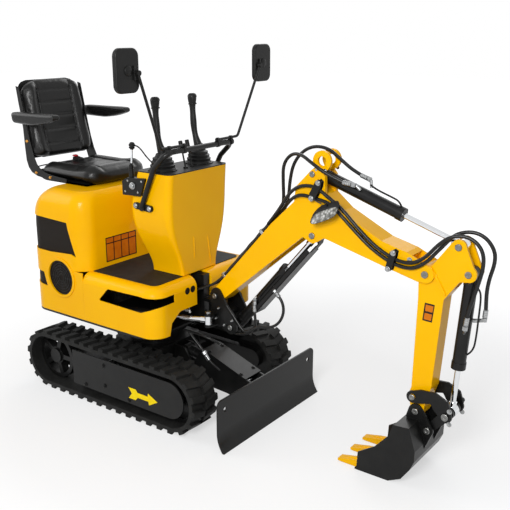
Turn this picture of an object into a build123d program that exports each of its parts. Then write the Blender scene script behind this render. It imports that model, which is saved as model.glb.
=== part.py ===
from build123d import *
import os
from math import atan2, cos, degrees, hypot, pi, radians, sin

# Mini excavator with a seat, a control console, rubber tracks, a dozer blade and a digging arm.
# Millimetres. X points forward, Y to the operator's left, Z up, and the ground is Z = 0.
# Every piece is drawn with the slew axis at X = 0. It is then moved by SLEW_X, so that the
# finished part has its origin on the ground under the middle of its own box.
SLEW_X = -560

# Running clearance of a pin in its bore, the seat between two fixed pieces, and a free gap.
PIN_CLEARANCE = 0.05
SEAT = 0.3
FREE = 5

# Tracks
TRACK_GAUGE = 730
TRACK_WIDTH = 200
WHEELBASE = 1014
BELT_RADIUS = 169
BELT_THICKNESS = 22
LUG_HEIGHT = 18
LUG_COUNT = 38
LUG_LENGTH = 36
LUG_SKEW = 22
AXLE_Z = LUG_HEIGHT + BELT_RADIUS
WHEEL_RADIUS = BELT_RADIUS - BELT_THICKNESS - SEAT
WHEEL_WIDTH = 56
SPOKE_COUNT = 5
HUB_RADIUS = 46
ROLLER_RADIUS = 38
ROLLER_SPACING = 250

# Undercarriage frame
BEAM_IN = 290
BEAM_THICKNESS = 40
BEAM_OUT = BEAM_IN + BEAM_THICKNESS
BEAM_REAR_RADIUS = 80
BEAM_FRONT_RADIUS = 62
CROSS_X = 140
CROSS_LENGTH = 100
CROSS_LOW = 140
CROSS_HIGH = 240
CENTRE_LENGTH = 380
CENTRE_WIDTH = 400
CENTRE_HIGH = 330
TOWER_RADIUS = 175
TOWER_HIGH = 400
MOTOR_RADIUS = 64
MOTOR_LENGTH = 85
GUARD_OUT = 458
GUARD_THICKNESS = 8
GUARD_IN = GUARD_OUT - GUARD_THICKNESS
GUARD_REAR_X = -275
GUARD_LOW = 91
GUARD_HIGH = 307
GUARD_FRONT_X = 500
GUARD_BOLTS = [(-10, 270), (-172, 101), (-6, 143), (191, 101)]
GUARD_BOSS_RADIUS = 13

# Dozer blade
BLADE_WIDTH = 930
BLADE_PIVOT = (330, 170)
BLADE_PIN_RADIUS = 16
BLADE_EAR_IN = 40
BLADE_EAR_OUT = 53
BLADE_ARM_IN = 58
BLADE_ARM_OUT = 70
BLADE_LOW = 3
BLADE_HIGH = 293
BLADE_BEND_Z = 110
BLADE_FACE_X = 855
BLADE_LIP_X = 893
BLADE_THICKNESS = 10
BLADE_CORNER = 34
TIE_HOLE_Y = 403
TIE_HOLE_Z = 230
TIE_HOLE_RADIUS = 14
COVER_HALF = 75
COVER_THICKNESS = 5
COVER_REAR = (434, 357)
COVER_FRONT = (742, 248)
BLADE_ROD_PIN = (690, 190)
BLADE_BARREL_PIN = (250, 290)

# Slew bearing and the deck that turns on it
RING_RADIUS = 185
RING_HIGH = 440
TURN_RADIUS = 160
DECK_LOW = 508
DECK_HIGH = 520
BODY_HALF = 450
FLOOR_Z = 805
SEAM_X = -150
FRONT_X = 419
FRONT_CORNER = 95
TOP_ROUND = 60
WALL = 6
MAT_THICKNESS = 4
RECESS_NEAR = -104
RECESS_FAR = 30
RECESS_REAR = 300
ARCH_HIGH = 640
ARCH_HALF = 340
ARCH_FLAT = 250

# Rear hood
HOOD_REAR_X = -612
HOOD_FRONT_X = -135
HOOD_SHOULDER = 1020
HOOD_TOP = 1262
HOOD_CORNER = 110
WINDOW = [(-585, 1101), (-261, 1089), (-203, 890), (-240, 905), (-420, 893), (-700, 897), (-700, 1101)]
FAN_CENTRE = (-338, 746)
FAN_RADIUS = 105
SMALL_GRILLE = [(-598, 765), (-491, 756), (-464, 670), (-590, 682)]
SIDE_SLOT = [(54, 752), (-25, 670), (302, 663), (460, 722), (460, 750), (300, 757)]
SLOT_INNER_Y = 292
MESH_GAP = 0.8
ENGINE_SIZE = (330, 300, 340)
ENGINE_CENTRE = (-380, 0)

# Console and controls
CONSOLE_SECTIONS = [
    (FLOOR_Z + MAT_THICKNESS, 124, 358, 152, 16),
    (900, 112, 358, 172, 20),
    (1000, 86, 358, 214, 26),
    (1110, 64, 358, 248, 34),
    (1240, 66, 362, 258, 38),
    (1340, 96, 368, 257, 38),
    (1400, 118, 373, 254, 36),
]
CONSOLE_TOP = 1400
TOP_PLATE_THICKNESS = 6
STICK_Y = 155
BOOT_X = 232
BOOT_RADIUS = 74
BOOT_HIGH = 1500
GRIP_TOP_Z = 1798
BAR_RADIUS = 15
BAR_FOOT = (177, 1208)
BAR_CORNER = (384, 1530)
BAR_HALF = 286
MIRROR_CENTRE = (388, 560, 1965)
MIRROR_WIDTH = 156
MIRROR_HEIGHT = 216
MIRROR_DEPTH = 30

# Seat
SEAT_HALF = 245
SEAT_BACK_LEAN = 9
ARMREST_IN = 262
ARMREST_OUT = 318

# Swing post and its swing pin
KING_X = 470
KING_RADIUS = 17
POST_HUB_RADIUS = 40
POST_HUB_LOW = 565
POST_HUB_HIGH = 632
KING_EAR_THICKNESS = 20
EAR_IN = 66
EAR_OUT = 78
SWING_ROD_PIN = (520, -128, 575)
SWING_BARREL_PIN = (-10, -318, 575)

# Arm pivots in the side view, X and Z, with the arm as it is parked
BOOM_FOOT = (531, 706)
BOOM_BARREL_PIN = (640, 540)
BOOM_ROD_PIN = (1160, 1154)
STICK_BARREL_PIN = (1155, 1469)
BOOM_TIP = (1781, 1064)
STICK_ROD_PIN = (1929, 1216)
BUCKET_BARREL_PIN = (1984, 1096)
GUIDE_PIVOT = (1762, 440)
BUCKET_PIVOT = (1776, 361)
LINK_KNEE = (1935, 384)
BUCKET_LINK_PIN = (1843, 277)

BOOM_HALF = 63
STICK_HALF = 48
FORK_HALF = 53.5
FORK_RADIUS = 106
STICK_END_RADIUS = 34
PLATE = 8
PIN_RADIUS = 15
BARREL_RADIUS = 32
BARREL_COLLAR = 3
ROD_RADIUS = 14
EYE_RADIUS = 29
EYE_HALF = 24
POCKET_HALF = 34
BOOM_POCKET_RADIUS = 96
GUARD_HALF = 46
GUARD_START = 176
GUARD_WALL_HIGH = 20
ROD_EYE_DRIFT = 57
RING_LUG = (1200, 1536)
RING_LUG_RADIUS = 52
RING_LUG_HOLE = 24
RING_LUG_Y = 45
RING_LUG_THICKNESS = 16

# Bucket, its ears and its links
BUCKET_HALF = 175
BUCKET_SIDE = 8
BUCKET_WALL = 8
BUCKET_LOW = 2
BUCKET_EAR_IN = 53
BUCKET_EAR_OUT = 65
GUIDE_IN = 69
GUIDE_OUT = 80
LINK_IN = 30
LINK_OUT = 47
TOOTH_WIDTH = 46
TOOTH_SPACING = 132

# Hoses
HOSE_RADIUS = 9


def outline(points, radius=0):
    """Closed outline from its corners, all rounded by one radius where that is given."""
    face = make_face(Polyline(*points, close=True))
    return fillet(face.vertices(), radius) if radius else face


def hull(*discs):
    """Outline drawn tight round some discs, each given as its centre and radius."""
    rims = [edge for x, y, r in discs for edge in (Pos(x, y) * Circle(r)).edges()]
    return make_hull(rims)


def across(shape, low, high):
    """Carry a side-view outline across the machine, from one Y to another."""
    return extrude(Plane.XZ.offset(-low) * shape, amount=low - high)


def along(shape, low, high):
    """Carry a front-view outline, drawn in Y and Z, from one X to another."""
    return extrude(Plane.YZ.offset(low) * shape, amount=high - low)


def upward(shape, low, high):
    """Carry a plan-view outline from one height to another."""
    return extrude(Pos(0, 0, low) * shape, amount=high - low)


def twin(solid):
    """A piece and its mirror image on the other side of the machine."""
    return [solid, mirror(solid, about=Plane.XZ)]


def both_sides(shape, inner, outer):
    """A side-view outline as two plates, one on each side of the machine."""
    return twin(across(shape, inner, outer))


def bar(start, end, radius):
    """Round bar between two points."""
    line = Vector(*end) - Vector(*start)
    low = (Align.CENTER, Align.CENTER, Align.MIN)
    return Plane(origin=start, z_dir=line) * Cylinder(radius, line.length, align=low)


def pin(place, radius, low, high):
    """Round bar across the machine at a place in the side view."""
    return bar((place[0], low, place[1]), (place[0], high, place[1]), radius)


def bent_bar(points, radius, bends):
    """Round bar along straight runs, joined by a tangent arc at each corner."""
    path = FilletPolyline(*points, radius=bends)
    start = Plane(origin=path @ 0, z_dir=path % 0)
    return sweep(start * Circle(radius), path=path)


def toward(start, end, distance):
    """Point on the line from start to end, at a distance from start."""
    span = hypot(end[0] - start[0], end[1] - start[1])
    share = distance / span
    return start[0] + share * (end[0] - start[0]), start[1] + share * (end[1] - start[1])


def belt_plane(distance):
    """Plane on the belt's outer face, at a distance along the belt from its top rear."""
    half, arc = WHEELBASE / 2, pi * BELT_RADIUS
    distance = distance % (2 * (WHEELBASE + arc))
    if distance < WHEELBASE:
        place, turn = (-half + distance, AXLE_Z + BELT_RADIUS), 0
    elif distance < WHEELBASE + arc:
        turn = (distance - WHEELBASE) / BELT_RADIUS
        place = (half + BELT_RADIUS * sin(turn), AXLE_Z + BELT_RADIUS * cos(turn))
    elif distance < 2 * WHEELBASE + arc:
        place, turn = (half - (distance - WHEELBASE - arc), AXLE_Z - BELT_RADIUS), pi
    else:
        turn = pi + (distance - 2 * WHEELBASE - arc) / BELT_RADIUS
        place = (-half + BELT_RADIUS * sin(turn), AXLE_Z + BELT_RADIUS * cos(turn))
    forward = (cos(turn), 0, -sin(turn))
    return Plane(origin=(place[0], 0, place[1]), x_dir=forward, z_dir=(sin(turn), 0, cos(turn)))


def track(side):
    """One rubber track: a belt round the sprocket and idler with two rows of skewed lugs."""
    outer = SlotCenterToCenter(WHEELBASE, 2 * BELT_RADIUS)
    inner = SlotCenterToCenter(WHEELBASE, 2 * (BELT_RADIUS - BELT_THICKNESS))
    belt = across(Pos(0, AXLE_Z) * (outer - inner), -TRACK_WIDTH / 2, TRACK_WIDTH / 2)
    reach, inward, sunk = TRACK_WIDTH / 2, 5, 2
    half = LUG_LENGTH / 2
    corners = [(-half, -reach), (half, -reach), (half + LUG_SKEW, -inward), (-half + LUG_SKEW, -inward)]
    near_lug = extrude(Pos(0, 0, -sunk) * outline(corners), amount=LUG_HEIGHT + sunk)
    far_lug = mirror(near_lug, about=Plane.XZ)
    pitch = 2 * (WHEELBASE + pi * BELT_RADIUS) / LUG_COUNT
    lugs = []
    for number in range(LUG_COUNT):
        lugs.append(belt_plane(number * pitch) * near_lug)
        lugs.append(belt_plane((number + 0.5) * pitch) * far_lug)
    tips = SlotCenterToCenter(WHEELBASE, 2 * (BELT_RADIUS + LUG_HEIGHT))
    loop = (belt + lugs) & across(Pos(0, AXLE_Z) * tips, -reach - 1, reach + 1)
    return Pos(0, side * TRACK_GAUGE / 2, 0) * loop


def sprockets():
    """Rear drive sprockets, with open spokes and a raised hub."""
    rim = Circle(WHEEL_RADIUS) - Circle(WHEEL_RADIUS - 26)
    spoke_length = WHEEL_RADIUS - 20
    spokes = [Rot(0, 0, 360 * n / SPOKE_COUNT) * Pos(spoke_length / 2, 0) * Rectangle(spoke_length, 30)
              for n in range(SPOKE_COUNT)]
    wheel = rim + Circle(HUB_RADIUS + 10) + spokes
    place = Pos(-WHEELBASE / 2, AXLE_Z)
    disc = across(place * wheel, BEAM_OUT + 6, BEAM_OUT + WHEEL_WIDTH)
    hub = across(place * Circle(HUB_RADIUS), BEAM_OUT, BEAM_OUT + WHEEL_WIDTH + 12)
    return twin(disc + hub)


def idlers():
    """Front idler wheels, dished between hub and rim."""
    place = Pos(WHEELBASE / 2, AXLE_Z)
    wheel = across(place * Circle(WHEEL_RADIUS), BEAM_OUT + 6, BEAM_OUT + WHEEL_WIDTH)
    dish = Circle(WHEEL_RADIUS - 24) - Circle(HUB_RADIUS)
    wheel -= across(place * dish, BEAM_OUT + 40, BEAM_OUT + WHEEL_WIDTH + 1)
    return twin(wheel + across(place * Circle(HUB_RADIUS - 10), BEAM_OUT, BEAM_OUT + 10))


def track_rollers():
    """Bottom rollers, each on an axle that stands out of the side beam."""
    axle_z = LUG_HEIGHT + BELT_THICKNESS + ROLLER_RADIUS + SEAT
    rollers = []
    for number in (-1, 0, 1):
        place = (number * ROLLER_SPACING, axle_z)
        roller = pin(place, ROLLER_RADIUS, BEAM_OUT + 10, BEAM_OUT + 62)
        rollers += twin(roller + pin(place, 12, BEAM_OUT, BEAM_OUT + 70))
    return rollers


def side_beam_outline():
    """Side beam, from the drive motor to the idler, deepened down to the rollers' axles."""
    half = WHEELBASE / 2
    beam = hull((-half, AXLE_Z, BEAM_REAR_RADIUS), (half, AXLE_Z, BEAM_FRONT_RADIUS))
    foot = outline([(-330, 60), (330, 60), (380, 130), (-380, 130)])
    return beam + foot


def track_frame():
    """Undercarriage frame: side beams, cross beams, centre box, slew tower and blade ears."""
    reach = BEAM_IN + 10
    parts = both_sides(side_beam_outline(), BEAM_IN, BEAM_OUT)
    for x in (-CROSS_X, CROSS_X):
        tube = Rectangle(2 * reach, CROSS_HIGH - CROSS_LOW)
        tube = Pos(0, (CROSS_LOW + CROSS_HIGH) / 2) * fillet(tube.vertices(), 12)
        parts.append(along(tube, x - CROSS_LENGTH / 2, x + CROSS_LENGTH / 2))
    box = fillet(Rectangle(CENTRE_LENGTH, CENTRE_WIDTH).vertices(), 40)
    parts.append(upward(box, CROSS_LOW + 20, CENTRE_HIGH))
    parts.append(upward(Circle(TOWER_RADIUS), CENTRE_HIGH - 1, TOWER_HIGH))
    parts.append(upward(Circle(TOWER_RADIUS + 14), TOWER_HIGH - 12, TOWER_HIGH))
    ear = hull((*BLADE_PIVOT, 34), (180, 200, 36), (180, 290, 30), (*BLADE_BARREL_PIN, 26))
    parts += both_sides(ear, BLADE_EAR_IN, BLADE_EAR_OUT)
    parts.append(pin(BLADE_PIVOT, BLADE_PIN_RADIUS, -BLADE_ARM_OUT - 4, BLADE_ARM_OUT + 4))
    parts.append(pin(BLADE_BARREL_PIN, PIN_RADIUS, -BLADE_EAR_IN, BLADE_EAR_IN))
    for place in GUARD_BOLTS:
        parts += twin(pin(place, GUARD_BOSS_RADIUS, BEAM_OUT - 1, GUARD_IN))
    frame = parts[0] + parts[1:]
    slot = across(outline([(202, 236), (420, 236), (420, 400), (202, 400)]), -BLADE_EAR_IN, BLADE_EAR_IN)
    return frame - (slot - pin(BLADE_BARREL_PIN, PIN_RADIUS, -BLADE_EAR_IN, BLADE_EAR_IN))


def track_guards():
    """Smooth side plates that close the tracks' outer sides, round at the front."""
    middle = (GUARD_LOW + GUARD_HIGH) / 2
    radius = (GUARD_HIGH - GUARD_LOW) / 2
    rim = [Line((GUARD_REAR_X, GUARD_HIGH), (GUARD_REAR_X, GUARD_LOW)),
           Line((GUARD_REAR_X, GUARD_LOW), (GUARD_FRONT_X, GUARD_LOW)),
           CenterArc((GUARD_FRONT_X, middle), radius, -90, 180),
           Line((GUARD_FRONT_X, GUARD_HIGH), (GUARD_REAR_X, GUARD_HIGH))]
    return both_sides(make_face(rim), GUARD_IN, GUARD_OUT)


def drive_motors():
    """Travel motors on the inner faces of the side beams, behind the centre box."""
    place = (-WHEELBASE / 2, AXLE_Z)
    body = pin(place, MOTOR_RADIUS, BEAM_IN - MOTOR_LENGTH, BEAM_IN)
    end = pin(place, MOTOR_RADIUS - 18, BEAM_IN - MOTOR_LENGTH - 22, BEAM_IN - MOTOR_LENGTH)
    return twin(body + end)


def slew_bearing():
    """Fixed outer ring of the slew bearing, bolted on the tower."""
    ring = upward(Circle(RING_RADIUS), TOWER_HIGH, RING_HIGH)
    return chamfer(ring.edges().group_by(Axis.Z)[-1], 4)


def blade():
    """Dozer blade: curved mouldboard with rounded top corners, stiffeners and push arms."""
    reach, drop = BLADE_LIP_X - BLADE_FACE_X, BLADE_BEND_Z - BLADE_LOW
    radius = (reach ** 2 + drop ** 2) / (2 * reach)
    centre = (BLADE_FACE_X + radius, BLADE_BEND_Z)
    back_x = BLADE_FACE_X - BLADE_THICKNESS
    front = CenterArc(centre, radius, 180, 50)
    back = CenterArc(centre, radius + BLADE_THICKNESS, 180, 50)
    rim = [Line((BLADE_FACE_X, BLADE_HIGH), front @ 0), front, Line(front @ 1, back @ 1), back,
           Line(back @ 0, (back_x, BLADE_HIGH)), Line((back_x, BLADE_HIGH), (BLADE_FACE_X, BLADE_HIGH))]
    half, high = BLADE_WIDTH / 2, BLADE_HIGH
    board = across(make_face(rim), -half - 5, half + 5)
    plate = outline([(-half, BLADE_LOW), (half, BLADE_LOW), (half, high), (-half, high)])
    plate = fillet(plate.vertices().group_by(Axis.Y)[-1], BLADE_CORNER)
    board &= along(plate, BLADE_FACE_X - 60, BLADE_LIP_X + 20)
    hole = Pos(TIE_HOLE_Y, TIE_HOLE_Z) * Circle(TIE_HOLE_RADIUS)
    board -= twin(along(hole, BLADE_FACE_X - 60, BLADE_FACE_X + 60))
    rail = outline([(back_x - 40, 120), (back_x + 2, 120), (back_x + 2, 205), (back_x - 40, 190)])
    parts = [across(rail, -half + 70, half - 70)]
    arm = outline([(BLADE_PIVOT[0], 136), (600, 120), (back_x + 2, 84), (back_x + 2, 212),
                   (COVER_FRONT[0], COVER_FRONT[1] - COVER_THICKNESS - 1),
                   (COVER_REAR[0], COVER_REAR[1] - COVER_THICKNESS - 1), (396, 320),
                   (BLADE_PIVOT[0] - 4, 204)]) + Pos(*BLADE_PIVOT) * Circle(34)
    parts += both_sides(arm, BLADE_ARM_IN, BLADE_ARM_OUT)
    parts.append(across(outline([(730, 108), (back_x + 2, 88), (back_x + 2, 205), (760, 212)]),
                        -BLADE_ARM_IN - 2, BLADE_ARM_IN + 2))
    parts.append(pin(BLADE_ROD_PIN, PIN_RADIUS, EYE_HALF + FREE, BLADE_ARM_IN + 2))
    parts.append(pin(BLADE_ROD_PIN, PIN_RADIUS, -BLADE_ARM_IN - 2, -EYE_HALF - FREE))
    bore = pin(BLADE_PIVOT, BLADE_PIN_RADIUS + PIN_CLEARANCE, -100, 100)
    return board + parts - bore


def blade_cover():
    """Sloping plate that covers the blade cylinder between the push arms."""
    (x0, z0), (x1, z1) = COVER_REAR, COVER_FRONT
    drop = COVER_THICKNESS
    plate = outline([(x0, z0), (x1, z1), (x1, z1 - drop), (x0, z0 - drop)])
    return across(plate, -COVER_HALF, COVER_HALF) - both_sides(
        outline([(x0 - 9, z0), (x0, z0 - drop), (x1, z1 - drop), (x1 + 9, z1 - 30)]), BLADE_ARM_IN, BLADE_ARM_OUT)


def barrel(base, end, length, radius=BARREL_RADIUS, half=EYE_HALF, bore=PIN_RADIUS):
    """Hydraulic barrel from its base eye towards the rod's pin, with a gland at its mouth."""
    mouth = toward(base, end, length)
    start = toward(base, end, EYE_RADIUS - 6)
    body = bar((start[0], 0, start[1]), (mouth[0], 0, mouth[1]), radius)
    collar = toward(base, end, length - 34)
    body += bar((collar[0], 0, collar[1]), (mouth[0], 0, mouth[1]), radius + BARREL_COLLAR)
    foot = toward(base, end, 46)
    body += bar((foot[0], 0, foot[1]), (*toward(base, end, 62)[:1], 0, toward(base, end, 62)[1]), radius + 2)
    eye = pin(base, EYE_RADIUS, -half, half)
    inside = toward(base, end, EYE_RADIUS + 40)
    cavity = bar((inside[0], 0, inside[1]), (mouth[0], 0, mouth[1]), ROD_RADIUS + PIN_CLEARANCE)
    return body + eye - cavity - pin(base, bore + PIN_CLEARANCE, -100, 100)


def rod(base, end, inside, radius=ROD_RADIUS):
    """Piston rod from inside the barrel to its eye. The eye is open: its pin stays outside."""
    start = toward(base, end, inside)
    shaft = bar((start[0], 0, start[1]), (end[0], 0, end[1]), radius)
    neck = toward(end, base, EYE_RADIUS + 22)
    shaft += bar((neck[0], 0, neck[1]), (end[0], 0, end[1]), radius + 5)
    return shaft + pin(end, EYE_RADIUS, -EYE_HALF, EYE_HALF) - pin(end, PIN_RADIUS + 1, -100, 100)


def body_plan(rear, front, half, corner):
    """Plan outline of the front cover: square behind, rounded at both front corners."""
    plan = outline([(rear, -half), (front, -half), (front, half), (rear, half)])
    return fillet(plan.vertices().group_by(Axis.X)[-1], corner)


def cover_form(inset):
    """Solid form of the front cover, drawn smaller all round for the space inside it."""
    plan = body_plan(SEAM_X, FRONT_X - inset, BODY_HALF - inset, FRONT_CORNER - inset)
    form = upward(plan, DECK_HIGH, FLOOR_Z - inset)
    top = form.faces().sort_by(Axis.Z)[-1].edges().filter_by(lambda e: e.center().X > SEAM_X + 1)
    form = fillet(top, TOP_ROUND - inset)
    recess = Pos((RECESS_REAR - inset + 600) / 2, (RECESS_NEAR + RECESS_FAR) / 2, 660) * Box(
        600 - RECESS_REAR + inset, RECESS_FAR - RECESS_NEAR + 2 * inset, 400)
    return form - recess


def front_cover():
    """Moulded cover of the front deck: floor, skirt, side slots and the arch over the swing cylinder."""
    shell = cover_form(0) - cover_form(WALL)
    arch = outline([(-ARCH_HALF, DECK_HIGH - 9), (ARCH_HALF, DECK_HIGH - 9), (ARCH_HALF - 20, 590),
                    (ARCH_FLAT, ARCH_HIGH), (-ARCH_FLAT, ARCH_HIGH), (-ARCH_HALF + 20, 590)])
    arch = fillet(arch.vertices().group_by(Axis.Y)[-1], 50)
    shell -= along(arch, RECESS_REAR - WALL - 1, FRONT_X + 10)
    shell -= both_sides(fillet(outline(SIDE_SLOT).vertices(), 6), SLOT_INNER_Y, BODY_HALF + 10)
    return shell


def floor_mat():
    """Rubber mat on the floor, between the hood and the front edge, round the console's foot."""
    margin = TOP_ROUND + 2
    plan = body_plan(HOOD_FRONT_X + 3, FRONT_X - margin - 3, BODY_HALF - margin - 10, 40)
    foot = Pos(241, 0) * Rectangle(236, 306)
    return upward(plan - foot, FLOOR_Z, FLOOR_Z + MAT_THICKNESS)


def deck_plate():
    """Deck of the turning upper body, with its bearing ring and the swing bracket."""
    rear = fillet(outline([(HOOD_REAR_X, -BODY_HALF), (SEAM_X, -BODY_HALF), (SEAM_X, BODY_HALF),
                           (HOOD_REAR_X, BODY_HALF)]).vertices().group_by(Axis.X)[0], HOOD_CORNER)
    front = body_plan(SEAM_X - 1, FRONT_X - 60, BODY_HALF, FRONT_CORNER)
    deck = upward(rear + front, DECK_LOW, DECK_HIGH)
    parts = [upward(Circle(TURN_RADIUS), RING_HIGH + SEAT, DECK_LOW + 1)]
    post = outline([(RECESS_REAR + 10, -26), (404, -26), (404, 26), (RECESS_REAR + 10, 26)])
    parts.append(upward(post, DECK_LOW + 1, 792))
    ear = hull((RECESS_REAR + 60, 0, 20), (FRONT_X - 20, 0, 20), (KING_X, 0, 38))
    low, high = POST_HUB_LOW - FREE - KING_EAR_THICKNESS, POST_HUB_HIGH + FREE + KING_EAR_THICKNESS
    parts.append(upward(ear, low, low + KING_EAR_THICKNESS))
    parts.append(upward(ear, high - KING_EAR_THICKNESS, high))
    parts.append(upward(Pos(KING_X, 0) * Circle(KING_RADIUS), low - 8, high + 6))
    x, y, z = SWING_BARREL_PIN
    parts.append(upward(Pos(x, y) * Circle(30), DECK_HIGH - 1, z - EYE_HALF - 14))
    parts.append(upward(Pos(x, y) * Circle(EYE_RADIUS - 9), DECK_HIGH, z - EYE_HALF - SEAT))
    parts.append(upward(Pos(x, y) * Circle(PIN_RADIUS), DECK_HIGH, z + EYE_HALF + 6))
    return deck + parts


def hood_section(z, rear, front, half, corner):
    """One level of the hood: a rounded rectangle."""
    plan = outline([(rear, -half), (front, -half), (front, half), (rear, half)], corner)
    return Pos(0, 0, z) * plan


def hood_form(inset):
    """Solid form of the rear hood, drawn smaller all round for the space inside it."""
    low = fillet(outline([(HOOD_REAR_X + inset, -BODY_HALF + inset), (SEAM_X, -BODY_HALF + inset),
                          (SEAM_X, BODY_HALF - inset), (HOOD_REAR_X + inset, BODY_HALF - inset)]
                         ).vertices().group_by(Axis.X)[0], HOOD_CORNER - inset)
    skirt = upward(low, DECK_HIGH, FLOOR_Z)
    sides = hood_section(0, HOOD_REAR_X + inset, HOOD_FRONT_X - inset, BODY_HALF - inset, HOOD_CORNER - inset)
    skirt += upward(sides, FLOOR_Z, HOOD_SHOULDER)
    levels = [
        (HOOD_SHOULDER, HOOD_REAR_X, HOOD_FRONT_X, BODY_HALF, HOOD_CORNER),
        (1085, HOOD_REAR_X + 2, HOOD_FRONT_X - 1, BODY_HALF - 1, HOOD_CORNER),
        (1140, HOOD_REAR_X + 10, HOOD_FRONT_X - 4, BODY_HALF - 5, HOOD_CORNER - 1),
        (1200, HOOD_REAR_X + 40, HOOD_FRONT_X - 10, BODY_HALF - 17, HOOD_CORNER - 5),
        (1242, HOOD_REAR_X + 86, HOOD_FRONT_X - 24, BODY_HALF - 46, HOOD_CORNER - 15),
        (HOOD_TOP, HOOD_REAR_X + 130, HOOD_FRONT_X - 44, BODY_HALF - 84, HOOD_CORNER - 25),
    ]
    drawn = []
    for number, (z, rear, front, half, corner) in enumerate(levels):
        lower = inset if number == len(levels) - 1 else inset * number / len(levels)
        drawn.append(hood_section(z - lower, rear + inset, front - inset, half - inset, corner - inset))
    return skirt + loft(drawn)


def hood():
    """Rear hood over the engine, with side windows, small grilles and the fan opening."""
    shell = hood_form(0) - hood_form(WALL)
    fan = Pos(*FAN_CENTRE) * Circle(FAN_RADIUS)
    lip = Pos(*FAN_CENTRE) * (Circle(FAN_RADIUS + 16) - Circle(FAN_RADIUS))
    shell += across(lip, -BODY_HALF - 6, -BODY_HALF + 1)
    shell -= across(fan, -BODY_HALF - 20, -BODY_HALF + 40)
    shell -= both_sides(outline(WINDOW), BODY_HALF - 120, BODY_HALF + 20)
    shell -= both_sides(outline(SMALL_GRILLE), BODY_HALF - 60, BODY_HALF + 20)
    return shell


def hood_grilles():
    """Mesh panels behind the hood's openings, lying against its inner face."""
    skin = hood_form(WALL + MESH_GAP) - hood_form(WALL + MESH_GAP + 3)
    lap = 12
    panels = []
    for points in (WINDOW, SMALL_GRILLE):
        panel = offset(outline(points), amount=lap, kind=Kind.INTERSECTION)
        for cutter in both_sides(panel, BODY_HALF - 116, BODY_HALF + 20):
            panels += (skin & cutter).solids()
    fan = across(Pos(*FAN_CENTRE) * Circle(FAN_RADIUS + lap), -BODY_HALF - 20, -BODY_HALF + 40)
    disc = skin & fan
    for points in (WINDOW, SMALL_GRILLE):
        panel = offset(outline(points), amount=lap + SEAT, kind=Kind.INTERSECTION)
        disc -= across(panel, -BODY_HALF - 30, -BODY_HALF + 116)
    panels += disc.solids()
    return panels


def engine_block():
    """The engine as one plain block, standing on the deck."""
    length, width, height = ENGINE_SIZE
    low = (Align.CENTER, Align.CENTER, Align.MIN)
    return Pos(*ENGINE_CENTRE, DECK_HIGH) * Box(length, width, height, align=low)


def valve_block():
    """Hydraulic valve block and pipes behind each side slot."""
    low = (Align.CENTER, Align.CENTER, Align.MIN)
    bank = Pos(110, 60, DECK_HIGH) * Box(220, 240, 190, align=low)
    tank = Pos(70, 330, DECK_HIGH) * Box(330, 150, 250, align=low)
    return [bank, tank]


def console_form(inset):
    """Solid form of the console: narrow at the floor, full width from knee height."""
    drawn = []
    for number, (z, rear, front, half, corner) in enumerate(CONSOLE_SECTIONS):
        plan = hood_section(z, rear + inset, front - inset, half - inset, corner - inset / 2)
        drawn.append(plan)
    return loft(drawn)


def console():
    """Console body, open below and closed by the top plate."""
    return console_form(0) - console_form(WALL)


def console_top():
    """Black top plate of the console with the bellows boots of both control sticks."""
    z, rear, front, half, corner = CONSOLE_SECTIONS[-1]
    plate = upward(hood_section(0, rear, front, half, corner), z + SEAT, z + TOP_PLATE_THICKNESS)
    boots = []
    levels = [(0, 0), (10, 0), (16, -6), (30, -4), (36, -12), (50, -10), (56, -20), (70, -19), (76, -32), (94, -40)]
    base = z + TOP_PLATE_THICKNESS - 1
    radii = [(BOOT_RADIUS + shrink, base + rise) for rise, shrink in levels]
    profile = outline([(0, base)] + radii + [(0, radii[-1][1])])
    boot = revolve(Plane.XZ * profile, axis=Axis.Z)
    boots = [Pos(BOOT_X, y, 0) * boot for y in (-STICK_Y, STICK_Y)]
    return plate + boots


def joysticks():
    """Two control sticks: a curved grip that swells at its head."""
    boot_top = CONSOLE_TOP + TOP_PLATE_THICKNESS - 1 + 94
    sticks = []
    for side in (-1, 1):
        levels = [(boot_top, 232, 22), (1545, 216, 21), (1610, 200, 19), (1690, 194, 18),
                  (1740, 191, 21), (1780, 190, 27), (GRIP_TOP_Z, 190, 20)]
        rings = [Pos(x, side * STICK_Y, z) * Ellipse(r, r * 0.85) for z, x, r in levels]
        sticks.append(loft(rings))
    return sticks


def small_levers():
    """Two short travel levers between the sticks."""
    base = CONSOLE_TOP + TOP_PLATE_THICKNESS
    levers = []
    for y in (-28, 28):
        shaft = bar((289, y, base + 2), (262, y, base + 110), 5)
        shaft += upward(Pos(290, y) * Circle(14), base, base + 8)
        knob = bar((267, y, base + 92), (252, y, base + 150), 12)
        levers.append(shaft + fillet(knob.edges(), 5))
    return levers


def handle_bar():
    """Hooped bar in front of the sticks, held by a foot bracket on each side of the console."""
    (fx, fz), (cx, cz) = BAR_FOOT, BAR_CORNER
    points = [(fx, -BAR_HALF + 9, fz), (290, -BAR_HALF, 1440), (cx, -BAR_HALF, cz),
              (cx, BAR_HALF, cz), (290, BAR_HALF, 1440), (fx, BAR_HALF - 9, fz)]
    hoop = bent_bar(points, BAR_RADIUS, [60, 60, 60, 60])
    foot = hull((fx - 52, fz + 3, 18), (fx + 54, fz - 4, 18))
    side = CONSOLE_SECTIONS[4][3]
    feet = both_sides(foot, side - 10, side + 14) + both_sides(
        Pos(fx, fz) * Circle(20), side, BAR_HALF - 4)
    body = console_form(0)
    return hoop + [(piece - body).solids().sort_by(SortBy.VOLUME)[-1] for piece in feet]


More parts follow.
